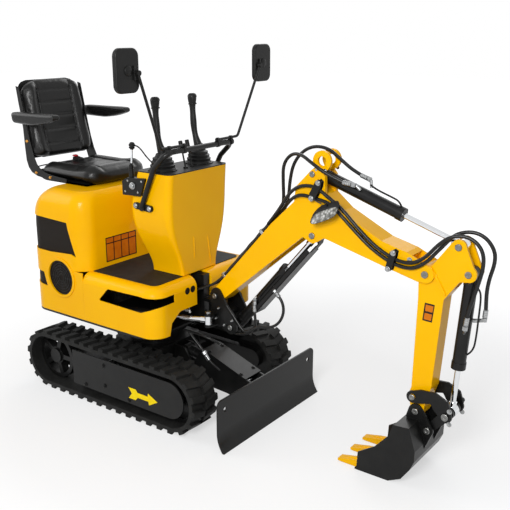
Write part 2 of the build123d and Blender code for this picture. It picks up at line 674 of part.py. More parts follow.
def mirrors():
    """Rear-view mirrors on bent rods that are clamped along the top of the bar."""
    x, y, z = MIRROR_CENTRE
    case = along(Pos(y, z) * RectangleRounded(MIRROR_WIDTH, MIRROR_HEIGHT, 40), x - MIRROR_DEPTH / 2, x + MIRROR_DEPTH / 2)
    case = fillet(case.edges().filter_by(Plane.YZ), 8)
    rod_radius = 8
    top = BAR_CORNER[1] + BAR_RADIUS + rod_radius + SEAT
    hub = (x + MIRROR_DEPTH / 2 + 14, y - 52, z - 12)
    arm = bent_bar([(BAR_CORNER[0], 130, top), (BAR_CORNER[0], 330, top + 2), hub], rod_radius, [24])
    knuckle = bar((x, hub[1], hub[2]), (hub[0] + 12, hub[1], hub[2]), 14)
    return twin(case + [arm, knuckle])


def control_box():
    """Black switch box on the near rear side of the console, with its lever socket."""
    side = CONSOLE_SECTIONS[4][3]
    profile = outline([(30, 1262), (168, 1268), (205, 1370), (66, 1362), (30, 1340)])
    box = across(fillet(profile.vertices(), 6), -side - 16, -side + 30)
    cut = console_form(-SEAT)
    socket = bar((84, -side + 7, 1352), (84, -side + 7, 1410), 15)
    return (box - cut).solids().sort_by(SortBy.VOLUME)[-1] + socket


def seat_base():
    """Seat bracket on the hood's flat top."""
    plate = fillet(Rectangle(300, 330).vertices(), 30)
    lower = upward(Pos(-400, 0) * Rectangle(200, 300), HOOD_TOP, HOOD_TOP + 8)
    return lower + upward(Pos(-430, 0) * plate, HOOD_TOP + 7, HOOD_TOP + 22)


def seat_shell():
    """Seat shell: a bent panel under the cushion and behind the back, with raised cheeks."""
    low = HOOD_TOP + 22
    points = [(-345, low), (-640, low), (-740, low + 22), (-800, low + 90), (-845, 1560), (-905, 1850)]
    inner = [(-888, 1853), (-829, 1563), (-785, low + 98), (-732, low + 38), (-636, low + 14), (-345, low + 14)]
    pan = across(outline(points + inner), -SEAT_HALF + 6, SEAT_HALF - 6)
    cheek = outline([(-300, low), (-640, low - 2), (-740, low + 20), (-803, low + 88), (-848, 1500),
                     (-800, 1500), (-752, low + 118), (-700, low + 74), (-600, low + 46), (-420, low + 30)])
    return pan + both_sides(cheek, SEAT_HALF - 8, SEAT_HALF + 4)


def seat_cushion():
    """Seat cushion with a rounded nose."""
    low = HOOD_TOP + 22 + 14 + SEAT
    profile = outline([(-716, low + 22), (-636, low), (-350, low), (-300, low + 14), (-286, low + 40),
                       (-310, low + 66), (-420, low + 74), (-700, low + 62)])
    pad = across(fillet(profile.vertices(), 8), -SEAT_HALF + 9, SEAT_HALF - 9)
    return pad


def seat_back():
    """Seat back, a rounded pad that leans on the shell."""
    profile = outline([(-712, 1365), (-766, 1380), (-784, 1384), (-828.4, 1563), (-887.4, 1853), (-872, 1878),
                       (-835, 1862), (-775, 1600), (-708, 1420)])
    pad = across(fillet(profile.vertices(), 8), -SEAT_HALF + 9, SEAT_HALF - 9)
    front = [(-SEAT_HALF + 9, 1300), (SEAT_HALF - 9, 1300), (SEAT_HALF - 24, 1900), (-SEAT_HALF + 24, 1900)]
    shape = outline([(y, min(z, 1880)) for y, z in front])
    shape = fillet(shape.vertices().group_by(Axis.Y)[-1], 70)
    return pad & along(shape, -950, -600)


def armrests():
    """Armrests, deeper below their middle, hinged on brackets beside the back."""
    profile = outline([(-862, 1660), (-850, 1605), (-786, 1574), (-700, 1574), (-560, 1598), (-480, 1640),
                       (-472, 1668), (-480, 1674), (-820, 1668)])
    rest = across(fillet(profile.vertices(), 8), ARMREST_IN, ARMREST_OUT)
    bracket = pin((-838, 1620), 16, SEAT_HALF - 6, ARMREST_IN + 2)
    return twin(rest + bracket)


def swing_post():
    """Swing post: hub on the swing pin, and two ears that carry the boom and its cylinder."""
    hub = upward(Pos(KING_X, 0) * Circle(POST_HUB_RADIUS), POST_HUB_LOW, POST_HUB_HIGH)
    x, z = BOOM_FOOT
    ear = hull((x, z, 38), (x + 6, z + 10, 38), (x + 20, z - 136, 30), (*BOOM_BARREL_PIN, 42))
    parts = both_sides(ear, EAR_IN, EAR_OUT)
    web = outline([(KING_X + 26, POST_HUB_LOW), (KING_X + 26, POST_HUB_HIGH), (x + 8, POST_HUB_HIGH),
                   (588, 610), (588, 590), (556, POST_HUB_LOW)])
    parts.append(upward(Pos((KING_X + x) / 2, 0) * Rectangle(x - KING_X, 60), POST_HUB_LOW, POST_HUB_HIGH))
    parts.append(across(web, -EAR_OUT, EAR_OUT))
    parts.append(pin(BOOM_FOOT, PIN_RADIUS, -EAR_OUT - 4, EAR_OUT + 4))
    parts.append(pin(BOOM_BARREL_PIN, PIN_RADIUS, -EAR_OUT - 4, EAR_OUT + 4))
    x, y, z = SWING_ROD_PIN
    lug = hull((x, y, 24), (KING_X + 50, -EAR_OUT + 10, 30))
    parts.append(upward(lug, z - EYE_HALF - FREE - 12, z - EYE_HALF - FREE))
    parts.append(upward(lug, z + EYE_HALF + FREE, z + EYE_HALF + FREE + 12))
    bore = upward(Pos(KING_X, 0) * Circle(KING_RADIUS + PIN_CLEARANCE), POST_HUB_LOW - 60, POST_HUB_HIGH + 60)
    return hub + parts - bore


def boom_outline():
    """Side view of the boom: tapered lower arm, deep bend and slimmer upper arm."""
    points = [(512, 739), (904, 1179), (1046, 1315), (1056, 1395), (1150, 1492), (1188, 1508), (1226, 1462),
              (1229, 1373), (1319, 1301), (1547, 1188), (1682, 1154), (1790, 1106), (1790, 1022), (1746, 1021),
              (1581, 1061), (1228, 1151), (1115, 1148), (560, 676)]
    shape = make_face(Polyline(*points, close=True))
    shape += Pos(*BOOM_FOOT) * Circle(42)
    shape += hull((*BOOM_ROD_PIN, 40), (1130, 1190, 60), (1230, 1200, 40))
    return shape + Pos(*BOOM_TIP) * Circle(44)


def beside_boom_cylinder(distance):
    """Point beside the boom cylinder's line, as far off it as the cylinder comes at the boom's limits."""
    (x0, z0), (x1, z1) = BOOM_BARREL_PIN, BOOM_ROD_PIN
    reach = hypot(x1 - x0, z1 - z0)
    x, z = toward(BOOM_BARREL_PIN, BOOM_ROD_PIN, distance)
    return x - ROD_EYE_DRIFT * (z1 - z0) / reach, z + ROD_EYE_DRIFT * (x1 - x0) / reach


def boom():
    """Boom: a bent box beam with open pockets for three cylinders and the stick."""
    solid = across(boom_outline(), -BOOM_HALF, BOOM_HALF)
    hollow = outline([(560, 770), (600, 726), (1110, 1176), (1240, 1180), (1590, 1082), (1660, 1066),
                      (1660, 1130), (1540, 1178), (1305, 1290), (1200, 1370), (1066, 1310), (920, 1172)])
    solid -= across(hollow, -BOOM_HALF + PLATE, BOOM_HALF - PLATE)
    solid -= across(Pos(*BOOM_ROD_PIN) * Circle(BOOM_POCKET_RADIUS), -POCKET_HALF, POCKET_HALF)
    nest_radius = BARREL_RADIUS + BARREL_COLLAR + FREE + 2
    nest = hull((*beside_boom_cylinder(720), nest_radius), (*beside_boom_cylinder(320), nest_radius))
    solid -= across(nest, -GUARD_HALF - FREE, GUARD_HALF + FREE)
    throat = hull((*STICK_BARREL_PIN, 46), (1400, 1330, 46), (1400, 1560, 46))
    solid -= across(throat, -POCKET_HALF - 6, POCKET_HALF + 6)
    solid -= across(hull((*BOOM_TIP, FORK_RADIUS), (BOOM_TIP[0] + 200, BOOM_TIP[1], FORK_RADIUS)),
                    -FORK_HALF, FORK_HALF)
    parts = [pin(STICK_BARREL_PIN, PIN_RADIUS, -BOOM_HALF - 4, BOOM_HALF + 4),
             pin(BOOM_TIP, PIN_RADIUS, -BOOM_HALF - 4, BOOM_HALF + 4),
             pin(BOOM_ROD_PIN, PIN_RADIUS, EYE_HALF + FREE, BOOM_HALF + 4),
             pin(BOOM_ROD_PIN, PIN_RADIUS, -BOOM_HALF - 4, -EYE_HALF - FREE)]
    ring = Pos(*RING_LUG) * (Circle(RING_LUG_RADIUS) - Circle(RING_LUG_HOLE))
    low, high = RING_LUG_Y - RING_LUG_THICKNESS / 2, RING_LUG_Y + RING_LUG_THICKNESS / 2
    parts += both_sides(ring, low, high)
    bore = pin(BOOM_FOOT, PIN_RADIUS + PIN_CLEARANCE, -100, 100)
    return solid + parts - bore


def stick():
    """Stick: box beam with a two-plate head for the cylinders and a boss for the bucket."""
    head = [(1744, 1020), (1747, 931), (1740, 477), (1728, 440), (1743, 361), (1809, 361), (1824, 437),
            (1842, 492), (1874, 953), (1944, 1052), (1984, 1058), (2020, 1096), (1964, 1222), (1929, 1252),
            (1898, 1236)]
    shape = make_face(Polyline(*head, close=True))
    shape += Pos(*STICK_ROD_PIN) * Circle(36)
    shape += Pos(*BUCKET_BARREL_PIN) * Circle(38)
    shape += Pos(*BUCKET_PIVOT) * Circle(STICK_END_RADIUS)
    shape += Pos(*BOOM_TIP) * Circle(44)
    solid = across(shape, -STICK_HALF, STICK_HALF)
    hollow = outline([(1754, 930), (1748, 500), (1832, 500), (1862, 950), (1830, 990), (1760, 990)])
    solid -= across(hollow, -STICK_HALF + PLATE, STICK_HALF - PLATE)
    pocket = outline([(1842, 1320), (1842, 1130), (1884, 1060), (1906, 1005), (2120, 1005), (2120, 1320)])
    solid -= across(pocket, -POCKET_HALF, POCKET_HALF)
    parts = [pin(STICK_ROD_PIN, PIN_RADIUS, EYE_HALF + FREE, STICK_HALF + 4),
             pin(STICK_ROD_PIN, PIN_RADIUS, -STICK_HALF - 4, -EYE_HALF - FREE),
             pin(BUCKET_BARREL_PIN, PIN_RADIUS, -STICK_HALF - 4, STICK_HALF + 4),
             pin(GUIDE_PIVOT, PIN_RADIUS, -GUIDE_OUT - 4, GUIDE_OUT + 4),
             pin(BUCKET_PIVOT, PIN_RADIUS, -BUCKET_EAR_OUT - 3, BUCKET_EAR_OUT + 3)]
    return solid + parts - pin(BOOM_TIP, PIN_RADIUS + PIN_CLEARANCE, -100, 100)


def bucket():
    """Bucket: curved wrapper, side plates and two ears behind it."""
    low = BUCKET_LOW
    wrapper = [(1512, low), (1700, low), (1768, low + 34), (1812, 100), (1833, 150), (1834, 205), (1797, 320),
               (1716, 314)]
    inner = [(1716, 306), (1790, 311), (1826, 203), (1825, 153), (1805, 104), (1762, low + 42),
             (1698, low + BUCKET_WALL), (1512, low + BUCKET_WALL)]
    shell = across(outline(wrapper + inner), -BUCKET_HALF + 1, BUCKET_HALF - 1)
    side = outline([(1522, low), (1700, low), (1768, low + 34), (1812, 100), (1833, 150), (1834, 205),
                    (1797, 320), (1712, 314), (1692, 249), (1617, 163), (1527, 104)])
    parts = both_sides(side, BUCKET_HALF - BUCKET_SIDE, BUCKET_HALF)
    ear = hull((*BUCKET_PIVOT, 37), (*BUCKET_LINK_PIN, 30), (1740, 326, 12), (1826, 180, 10))
    parts += both_sides(ear, BUCKET_EAR_IN, BUCKET_EAR_OUT)
    solid = shell + parts
    room = outline([(1520, low + 8), (1698, low + 8), (1762, low + 42), (1805, 104), (1825, 153), (1826, 203),
                    (1790, 311), (1700, 306)])
    solid -= across(room, -BUCKET_EAR_OUT - 2, BUCKET_EAR_OUT + 2)
    solid += pin(BUCKET_LINK_PIN, PIN_RADIUS, -BUCKET_EAR_OUT - 4, BUCKET_EAR_OUT + 4)
    return solid - pin(BUCKET_PIVOT, PIN_RADIUS + PIN_CLEARANCE, -100, 100)


def bucket_teeth():
    """Three teeth that point forward from the bucket's lip."""
    low = BUCKET_LOW
    side = outline([(1566, low + BUCKET_WALL), (1536, 42), (1490, 36), (1402, 16), (1402, 5), (1420, low),
                    (1512 - SEAT, low), (1512 - SEAT, low + BUCKET_WALL)])
    return [across(side, y - TOOTH_WIDTH / 2, y + TOOTH_WIDTH / 2) for y in (-TOOTH_SPACING, 0, TOOTH_SPACING)]


def guide_links():
    """Curved guide links outside the stick, joined by a cross tube above the bucket."""
    arc = [(1800, 486), (1880, 492), (1944, 462), (1966, 400)]
    back = [(1905, 372), (1874, 403), (1858, 430), (1786, 412)]
    shape = make_face(Polyline((1762, 472), *arc, *back, (1752, 412), close=True))
    shape = fillet(shape.vertices(), 9)
    shape += Pos(*GUIDE_PIVOT) * Circle(31)
    shape += Pos(*LINK_KNEE) * Circle(32)
    plate = across(shape, GUIDE_IN, GUIDE_OUT) + pin(LINK_KNEE, PIN_RADIUS, LINK_OUT + FREE, GUIDE_OUT + 4)
    return twin(plate - pin(GUIDE_PIVOT, PIN_RADIUS + PIN_CLEARANCE, -100, 100))


def bucket_link():
    """Link from the bucket's rear pin to the knee, two plates joined by a web."""
    shape = hull((*BUCKET_LINK_PIN, 21), (*LINK_KNEE, 27))
    plates = both_sides(shape, LINK_IN, LINK_OUT)
    middle = toward(BUCKET_LINK_PIN, LINK_KNEE, 44)
    web = pin(middle, 12, -LINK_IN - 1, LINK_IN + 1)
    link = web + plates
    link -= pin(LINK_KNEE, PIN_RADIUS + 1, -100, 100)
    return link - pin(BUCKET_LINK_PIN, PIN_RADIUS + PIN_CLEARANCE, -100, 100)


def boom_rod():
    """Boom cylinder's rod with the channel-shaped guard that travels along its barrel."""
    solid = rod(BOOM_BARREL_PIN, BOOM_ROD_PIN, 330)
    dx, dz = BOOM_ROD_PIN[0] - BOOM_BARREL_PIN[0], BOOM_ROD_PIN[1] - BOOM_BARREL_PIN[1]
    reach = hypot(dx, dz)
    lean = degrees(atan2(dz, dx))
    drop = BARREL_RADIUS + BARREL_COLLAR + FREE
    wall, top = GUARD_HALF - 5, GUARD_WALL_HIGH - drop
    channel = outline([(-GUARD_HALF, -drop - 5), (GUARD_HALF, -drop - 5), (GUARD_HALF, top), (wall, top),
                       (wall, -drop), (-wall, -drop), (-wall, top), (-GUARD_HALF, top)])
    guard = along(channel, GUARD_START, reach - 92)
    strap = outline([(reach - 94, -drop), (reach - 94, -drop - 5), (reach - 30, -drop - 5), (reach + 4, -24),
                     (reach - 20, -10), (reach - 34, -drop)])
    guard += across(strap, -EYE_HALF, EYE_HALF)
    place = Pos(BOOM_BARREL_PIN[0], 0, BOOM_BARREL_PIN[1]) * Rot(0, -lean, 0)
    return solid + place * guard - pin(BOOM_ROD_PIN, PIN_RADIUS + 1, -40, 40)


def swing_cylinder():
    """Barrel and rod of the swing cylinder, which lies level under the floor."""
    (x0, y0, z0), (x1, y1, _) = SWING_BARREL_PIN, SWING_ROD_PIN
    span = hypot(x1 - x0, y1 - y0)
    ux, uy = (x1 - x0) / span, (y1 - y0) / span

    def at(distance):
        return x0 + ux * distance, y0 + uy * distance, z0

    body = bar(at(EYE_RADIUS - 6), at(330), 28) + bar(at(300), at(330), 31)
    body += upward(Pos(x0, y0) * Circle(EYE_RADIUS - 4), z0 - EYE_HALF, z0 + EYE_HALF)
    body -= bar(at(EYE_RADIUS + 40), at(330), ROD_RADIUS + PIN_CLEARANCE)
    body -= upward(Pos(x0, y0) * Circle(PIN_RADIUS + PIN_CLEARANCE), z0 - 60, z0 + 60)
    shaft = bar(at(200), at(span), ROD_RADIUS) + bar(at(span - 44), at(span), ROD_RADIUS + 5)
    shaft += upward(Pos(x1, y1) * Circle(23), z0 - EYE_HALF, z0 + EYE_HALF)
    return body, shaft - upward(Pos(x1, y1) * Circle(10), z0 - 60, z0 + 60)


def work_lamp():
    """Oval work lamp on the near side of the boom."""
    lean = -24
    case = Pos(1262, -BOOM_HALF - 42, 1292) * Rot(0, lean, 0) * Box(176, 62, 74)
    case = fillet(case.edges().filter_by(Axis.Y), 34)
    foot = Pos(1240, -BOOM_HALF - 6, 1312) * Box(40, 12, 40)
    return case + foot


def hose(points, radius=HOSE_RADIUS):
    """Hose along straight runs with the widest tangent arcs that the runs allow."""
    bends = []
    for before, corner, after in zip(points, points[1:], points[2:]):
        first, second = Vector(*corner) - Vector(*before), Vector(*after) - Vector(*corner)
        turn = radians(first.get_angle(second))
        bends.append(0.45 * min(first.length, second.length) / max(abs(turn) / 2, 0.02))
    return bent_bar(points, radius, bends)


def build():
    """Every node of the machine, by name."""
    swing_barrel, swing_rod = swing_cylinder()
    return {
        "track_frame": track_frame(),
        "track_guards": track_guards(),
        "track_left": track(1),
        "track_right": track(-1),
        "sprockets": sprockets(),
        "idlers": idlers(),
        "track_rollers": track_rollers(),
        "drive_motors": drive_motors(),
        "slew_bearing": slew_bearing(),
        "blade": blade(),
        "blade_cover": blade_cover(),
        "blade_barrel": barrel(BLADE_BARREL_PIN, BLADE_ROD_PIN, 300),
        "blade_rod": rod(BLADE_BARREL_PIN, BLADE_ROD_PIN, 200),
        "deck_plate": deck_plate(),
        "hood": hood(),
        "hood_grilles": hood_grilles(),
        "engine_block": engine_block(),
        "valve_block": valve_block(),
        "front_cover": front_cover(),
        "floor_mat": floor_mat(),
        "console": console(),
        "console_top": console_top(),
        "joysticks": joysticks(),
        "small_levers": small_levers(),
        "handle_bar": handle_bar(),
        "mirrors": mirrors(),
        "control_box": control_box(),
        "seat_base": seat_base(),
        "seat_shell": seat_shell(),
        "seat_cushion": seat_cushion(),
        "seat_back": seat_back(),
        "armrests": armrests(),
        "swing_barrel": swing_barrel,
        "swing_rod": swing_rod,
        "swing_post": swing_post(),
        "boom": boom(),
        "work_lamp": work_lamp(),
        "boom_barrel": barrel(BOOM_BARREL_PIN, BOOM_ROD_PIN, 512),
        "boom_rod": boom_rod(),
        "stick_barrel": barrel(STICK_BARREL_PIN, STICK_ROD_PIN, 500),
        "stick_rod": rod(STICK_BARREL_PIN, STICK_ROD_PIN, 330),
        "stick": stick(),
        "bucket_barrel": barrel(BUCKET_BARREL_PIN, LINK_KNEE, 483),
        "bucket_rod": rod(BUCKET_BARREL_PIN, LINK_KNEE, 330),
        "guide_links": guide_links(),
        "bucket_link": bucket_link(),
        "bucket": bucket(),
        "bucket_teeth": bucket_teeth(),
    }


def save():
    """Write each node to its own STEP file."""
    os.makedirs("parts", exist_ok=True)
    for name, shape in build().items():
        pieces = shape if isinstance(shape, (list, ShapeList)) else [shape]
        solids = [solid for piece in pieces for solid in piece.solids()]
        placed = [Pos(SLEW_X, 0, 0) * solid for solid in solids]
        export_step(placed[0] if len(placed) == 1 else Compound(placed), f"parts/{name}.step")


save()
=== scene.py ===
# %% [markdown]
# # A mini excavator
# The machine is a small digger on rubber tracks: yellow enamelled covers, a black undercarriage and
# blade, an open vinyl seat, and a folded arm with its hoses. Its hard parts come as a fixed frame
# that is already at its real size. This notebook gives every part its finish, and it makes the
# pieces that a drawing of the structure leaves out: the seat's pads and open shell, the hoses with
# their ends, pin heads, bolts, films and glass.

# %% Open the frame
from math import cos, pi, radians, sin, sqrt

import bmesh
import bpy
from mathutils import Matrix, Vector, noise


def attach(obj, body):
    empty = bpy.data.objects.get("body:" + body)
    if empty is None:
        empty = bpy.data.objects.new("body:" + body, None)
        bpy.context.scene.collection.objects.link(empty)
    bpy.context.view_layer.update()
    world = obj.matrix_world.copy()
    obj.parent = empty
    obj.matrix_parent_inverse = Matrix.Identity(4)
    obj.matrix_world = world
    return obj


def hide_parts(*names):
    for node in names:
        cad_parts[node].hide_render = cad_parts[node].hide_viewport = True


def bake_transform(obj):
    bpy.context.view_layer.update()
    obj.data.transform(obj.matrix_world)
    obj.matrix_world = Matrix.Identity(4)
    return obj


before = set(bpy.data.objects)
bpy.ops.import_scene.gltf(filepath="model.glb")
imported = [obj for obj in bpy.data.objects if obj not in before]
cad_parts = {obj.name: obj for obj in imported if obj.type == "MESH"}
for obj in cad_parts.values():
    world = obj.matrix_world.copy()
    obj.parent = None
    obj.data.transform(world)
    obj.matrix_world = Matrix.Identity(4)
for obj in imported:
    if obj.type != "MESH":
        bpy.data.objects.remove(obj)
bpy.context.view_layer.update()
scene = bpy.context.scene

# %% [markdown]
# ## Places in millimetres
# A machine is measured from its slewing axis, in millimetres, with X forward and Z up from the
# ground. The frame is in metres with its origin under the middle of the whole machine. One small
# function turns a measured place into a place in the frame, so that every size below can be read
# as a drawing's dimension.

# %% From the slewing axis to the frame
MM = 0.001
SLEW_X = -560


def place(x, y, z):
    """A point measured in millimetres from the slewing axis, as a point of the frame."""
    return Vector(((x + SLEW_X) * MM, y * MM, z * MM))


print("the slewing axis stands at", tuple(place(0, 0, 0)))

# %% [markdown]
# ## Colours and nodes
# Paint charts give a colour as a hex number in sRGB, but a shader works in linear light. Turning
# one into the other in a single function keeps every colour below as the eye would name it. A
# second function adds one node to a material, sets it and joins it, which keeps each material
# as short as its recipe.

# %% Turn a hex colour to linear light


def linear(hex_colour):
    """A hex colour such as F2B100 as linear red, green, blue and alpha."""
    channels = [int(hex_colour[i:i + 2], 16) / 255 for i in (0, 2, 4)]
    return [c / 12.92 if c <= 0.04045 else ((c + 0.055) / 1.055) ** 2.4 for c in channels] + [1.0]


# %% Add one node with its settings and links


def add(tree, kind, inputs=None, **settings):
    """Add a node, set what it is, and fill or join its inputs, which are given by name or number."""
    made = tree.nodes.new(kind)
    for key, value in settings.items():
        setattr(made, key, value)
    for key, value in (inputs or {}).items():
        if isinstance(value, bpy.types.NodeSocket):
            tree.links.new(value, made.inputs[key])
        else:
            made.inputs[key].default_value = value
    return made


def ramp(tree, factor, stops):
    """A colour ramp over a factor, from pairs of position and hex colour."""
    made = add(tree, "ShaderNodeValToRGB", {"Fac": factor})
    elements = made.color_ramp.elements
    while len(elements) < len(stops):
        elements.new(0.5)
    for element, (position, colour) in zip(elements, stops):
        element.position = position
        element.color = linear(colour)
    return made.outputs["Color"]


def new_finish(name, **values):
    """A material with a plain Principled shader, whose constants are set on its own sockets."""
    material = bpy.data.materials.new(name)
    material.use_nodes = True
    shader = material.node_tree.nodes["Principled BSDF"]
    for key, value in values.items():
        shader.inputs[key.replace("_", " ")].default_value = value
    return material, material.node_tree, shader


def paint(tree, shader, factor, stops):
    """Let a colour ramp over a factor give the shader its colour."""
    tree.links.new(ramp(tree, factor, stops), shader.inputs["Base Color"])


def wear(tree, scale, detail=4.0):
    """Soft noise over a piece, read from its own place, for stains, dust and drifts of colour."""
    spot = add(tree, "ShaderNodeTexCoord").outputs["Object"]
    return add(tree, "ShaderNodeTexNoise", {"Vector": spot, "Scale": scale, "Detail": detail}).outputs["Fac"]


# %% [markdown]
# ## Enamel on steel and on moulded covers
# The covers, boom and stick wear the same gloss enamel. It is sprayed, so it has a faint orange
# peel about 3 mm across, a hair of unevenness in its colour, and a hard clear shine. A Principled
# shader with a coat gives the two reflections that wet-looking paint has. Paint also rounds each
# edge, so a Bevel node turns the normals there and every edge catches a thin line of light.

# %% Yellow enamel


def yellow_enamel():
    """Sprayed gloss enamel. The eye sees a warm, saturated yellow with sharp window-like glints."""
    material, tree, shader = new_finish("yellow_enamel", Roughness=0.3, IOR=1.5)
    shader.inputs["Specular IOR Level"].default_value = 0.06
    shader.inputs["Coat Weight"].default_value = 0.12
    shader.inputs["Coat Roughness"].default_value = 0.05
    paint(tree, shader, wear(tree, 3.0, 3.0), [(0.3, "FAB600"), (0.7, "FDBE00")])
    peel = wear(tree, 330.0, 1.0)
    soft_edge = add(tree, "ShaderNodeBevel", {"Radius": 0.0035}, samples=4)
    bump = add(tree, "ShaderNodeBump", {"Height": peel, "Strength": 0.04, "Distance": 0.001,
                                        "Normal": soft_edge.outputs["Normal"]})
    tree.links.new(bump.outputs["Normal"], shader.inputs["Normal"])
    return material


YELLOW = yellow_enamel()
print(YELLOW.name)

# %% Black enamel


def black_enamel():
    """Black gloss enamel on welded steel. Dust greys it and dulls it a little."""
    material, tree, shader = new_finish("black_enamel", IOR=1.5)
    shader.inputs["Specular IOR Level"].default_value = 0.18
    shader.inputs["Coat Weight"].default_value = 0.12
    shader.inputs["Coat Roughness"].default_value = 0.12
    dust = wear(tree, 14.0, 6.0)
    paint(tree, shader, dust, [(0.35, "0C0C0C"), (0.75, "161615")])
    rough = add(tree, "ShaderNodeMapRange", {"Value": dust, "To Min": 0.28, "To Max": 0.5})
    tree.links.new(rough.outputs["Result"], shader.inputs["Roughness"])
    soft_edge = add(tree, "ShaderNodeBevel", {"Radius": 0.0025}, samples=4)
    bump = add(tree, "ShaderNodeBump", {"Height": wear(tree, 420.0, 2.0), "Strength": 0.08, "Distance": 0.001,
                                        "Normal": soft_edge.outputs["Normal"]})
    tree.links.new(bump.outputs["Normal"], shader.inputs["Normal"])
    return material


BLACK = black_enamel()
print(BLACK.name)

# %% Rubber of the tracks


def track_rubber():
    """Moulded black rubber. The eye sees a dull, slightly grey black with a fine pebbled skin."""
    material, tree, shader = new_finish("track_rubber", Roughness=0.62, IOR=1.52)
    shader.inputs["Specular IOR Level"].default_value = 0.16
    paint(tree, shader, wear(tree, 20.0, 5.0), [(0.3, "171716"), (0.75, "262625")])
    grain = wear(tree, 500.0, 3.0)
    bump = add(tree, "ShaderNodeBump", {"Height": grain, "Strength": 0.35, "Distance": 0.001})
    tree.links.new(bump.outputs["Normal"], shader.inputs["Normal"])
    return material


RUBBER = track_rubber()
print(RUBBER.name)

# %% Chrome of the piston rods


def hard_chrome():
    """Ground and hard-chromed steel. The fine marks of grinding blur its mirror a little."""
    material, tree, shader = new_finish("hard_chrome", Metallic=1.0, Roughness=0.12)
    shader.inputs["Base Color"].default_value = linear("D9DBDD")
    grinding = wear(tree, 900.0, 2.0)
    bump = add(tree, "ShaderNodeBump", {"Height": grinding, "Strength": 0.05, "Distance": 0.0005})
    tree.links.new(bump.outputs["Normal"], shader.inputs["Normal"])
    return material


CHROME = hard_chrome()
print(CHROME.name)

# %% Zinc on pins, bolts and hose ends


def zinc_plate():
    """Bright zinc plating on steel: a pale, soft metal shine with cloudy patches."""
    material, tree, shader = new_finish("zinc_plate", Metallic=1.0)
    clouds = wear(tree, 90.0, 4.0)
    paint(tree, shader, clouds, [(0.3, "8E9091"), (0.7, "B4B5B5")])
    rough = add(tree, "ShaderNodeMapRange", {"Value": clouds, "To Min": 0.22, "To Max": 0.4})
    tree.links.new(rough.outputs["Result"], shader.inputs["Roughness"])
    return material


ZINC = zinc_plate()
print(ZINC.name)

# %% Ground steel of the pins


def ground_steel():
    """Turned and ground steel: a mid-grey metal face, rough enough to blur what it mirrors."""
    material, tree, shader = new_finish("ground_steel", Metallic=1.0, Roughness=0.36)
    paint(tree, shader, wear(tree, 120.0), [(0.3, "6E6E6C"), (0.7, "8E8E8C")])
    return material


STEEL = ground_steel()
print(STEEL.name)

# %% Brass-coloured bolts of the seat


def passivated_bolt():
    """Yellow-passivated steel: the small warm glints along the seat's side."""
    material, tree, shader = new_finish("passivated_bolt", Metallic=1.0, Roughness=0.3)
    paint(tree, shader, wear(tree, 200.0), [(0.3, "B5803C"), (0.7, "D9A95A")])
    return material


BRASS = passivated_bolt()
print(BRASS.name)

# %% Vinyl of the seat


def seat_vinyl():
    """Grained vinyl over foam: black, with a leather grain about 2 mm across and a soft oily sheen."""
    material, tree, shader = new_finish("seat_vinyl", Roughness=0.3, IOR=1.5)
    shader.inputs["Specular IOR Level"].default_value = 0.2
    shader.inputs["Coat Weight"].default_value = 0.15
    shader.inputs["Coat Roughness"].default_value = 0.18
    spot = add(tree, "ShaderNodeTexCoord").outputs["Object"]
    cells = add(tree, "ShaderNodeTexVoronoi", {"Vector": spot, "Scale": 420.0}, feature="DISTANCE_TO_EDGE")
    creases = add(tree, "ShaderNodeMapRange", {"Value": cells.outputs["Distance"], "From Max": 0.12})
    paint(tree, shader, wear(tree, 9.0), [(0.3, "0C0C0C"), (0.7, "131312")])
    bump = add(tree, "ShaderNodeBump", {"Height": creases.outputs["Result"], "Strength": 0.25,
                                        "Distance": 0.0006})
    tree.links.new(bump.outputs["Normal"], shader.inputs["Normal"])
    return material


VINYL = seat_vinyl()
print(VINYL.name)

# %% Moulded black plastic


def moulded_plastic():
    """Injection-moulded black plastic with a spark-eroded texture, as on mirrors, boxes and grips."""
    material, tree, shader = new_finish("moulded_plastic", Roughness=0.42, IOR=1.46)
    shader.inputs["Specular IOR Level"].default_value = 0.25
    paint(tree, shader, wear(tree, 12.0), [(0.3, "0F0F0F"), (0.7, "171716")])
    bump = add(tree, "ShaderNodeBump", {"Height": wear(tree, 800.0, 2.0), "Strength": 0.2,
                                        "Distance": 0.0005})
    tree.links.new(bump.outputs["Normal"], shader.inputs["Normal"])
    return material


PLASTIC = moulded_plastic()
print(PLASTIC.name)

# %% Hose rubber


def hose_rubber():
    """The smooth cover of a hydraulic hose: black, with a narrow satin highlight along it."""
    material, tree, shader = new_finish("hose_rubber", Roughness=0.32, IOR=1.52)
    shader.inputs["Specular IOR Level"].default_value = 0.3
    paint(tree, shader, wear(tree, 30.0), [(0.3, "0B0B0B"), (0.7, "131312")])
    bump = add(tree, "ShaderNodeBump", {"Height": wear(tree, 700.0, 2.0), "Strength": 0.15,
                                        "Distance": 0.0006})
    tree.links.new(bump.outputs["Normal"], shader.inputs["Normal"])
    return material


HOSE = hose_rubber()
print(HOSE.name)

# %% Woven steel mesh


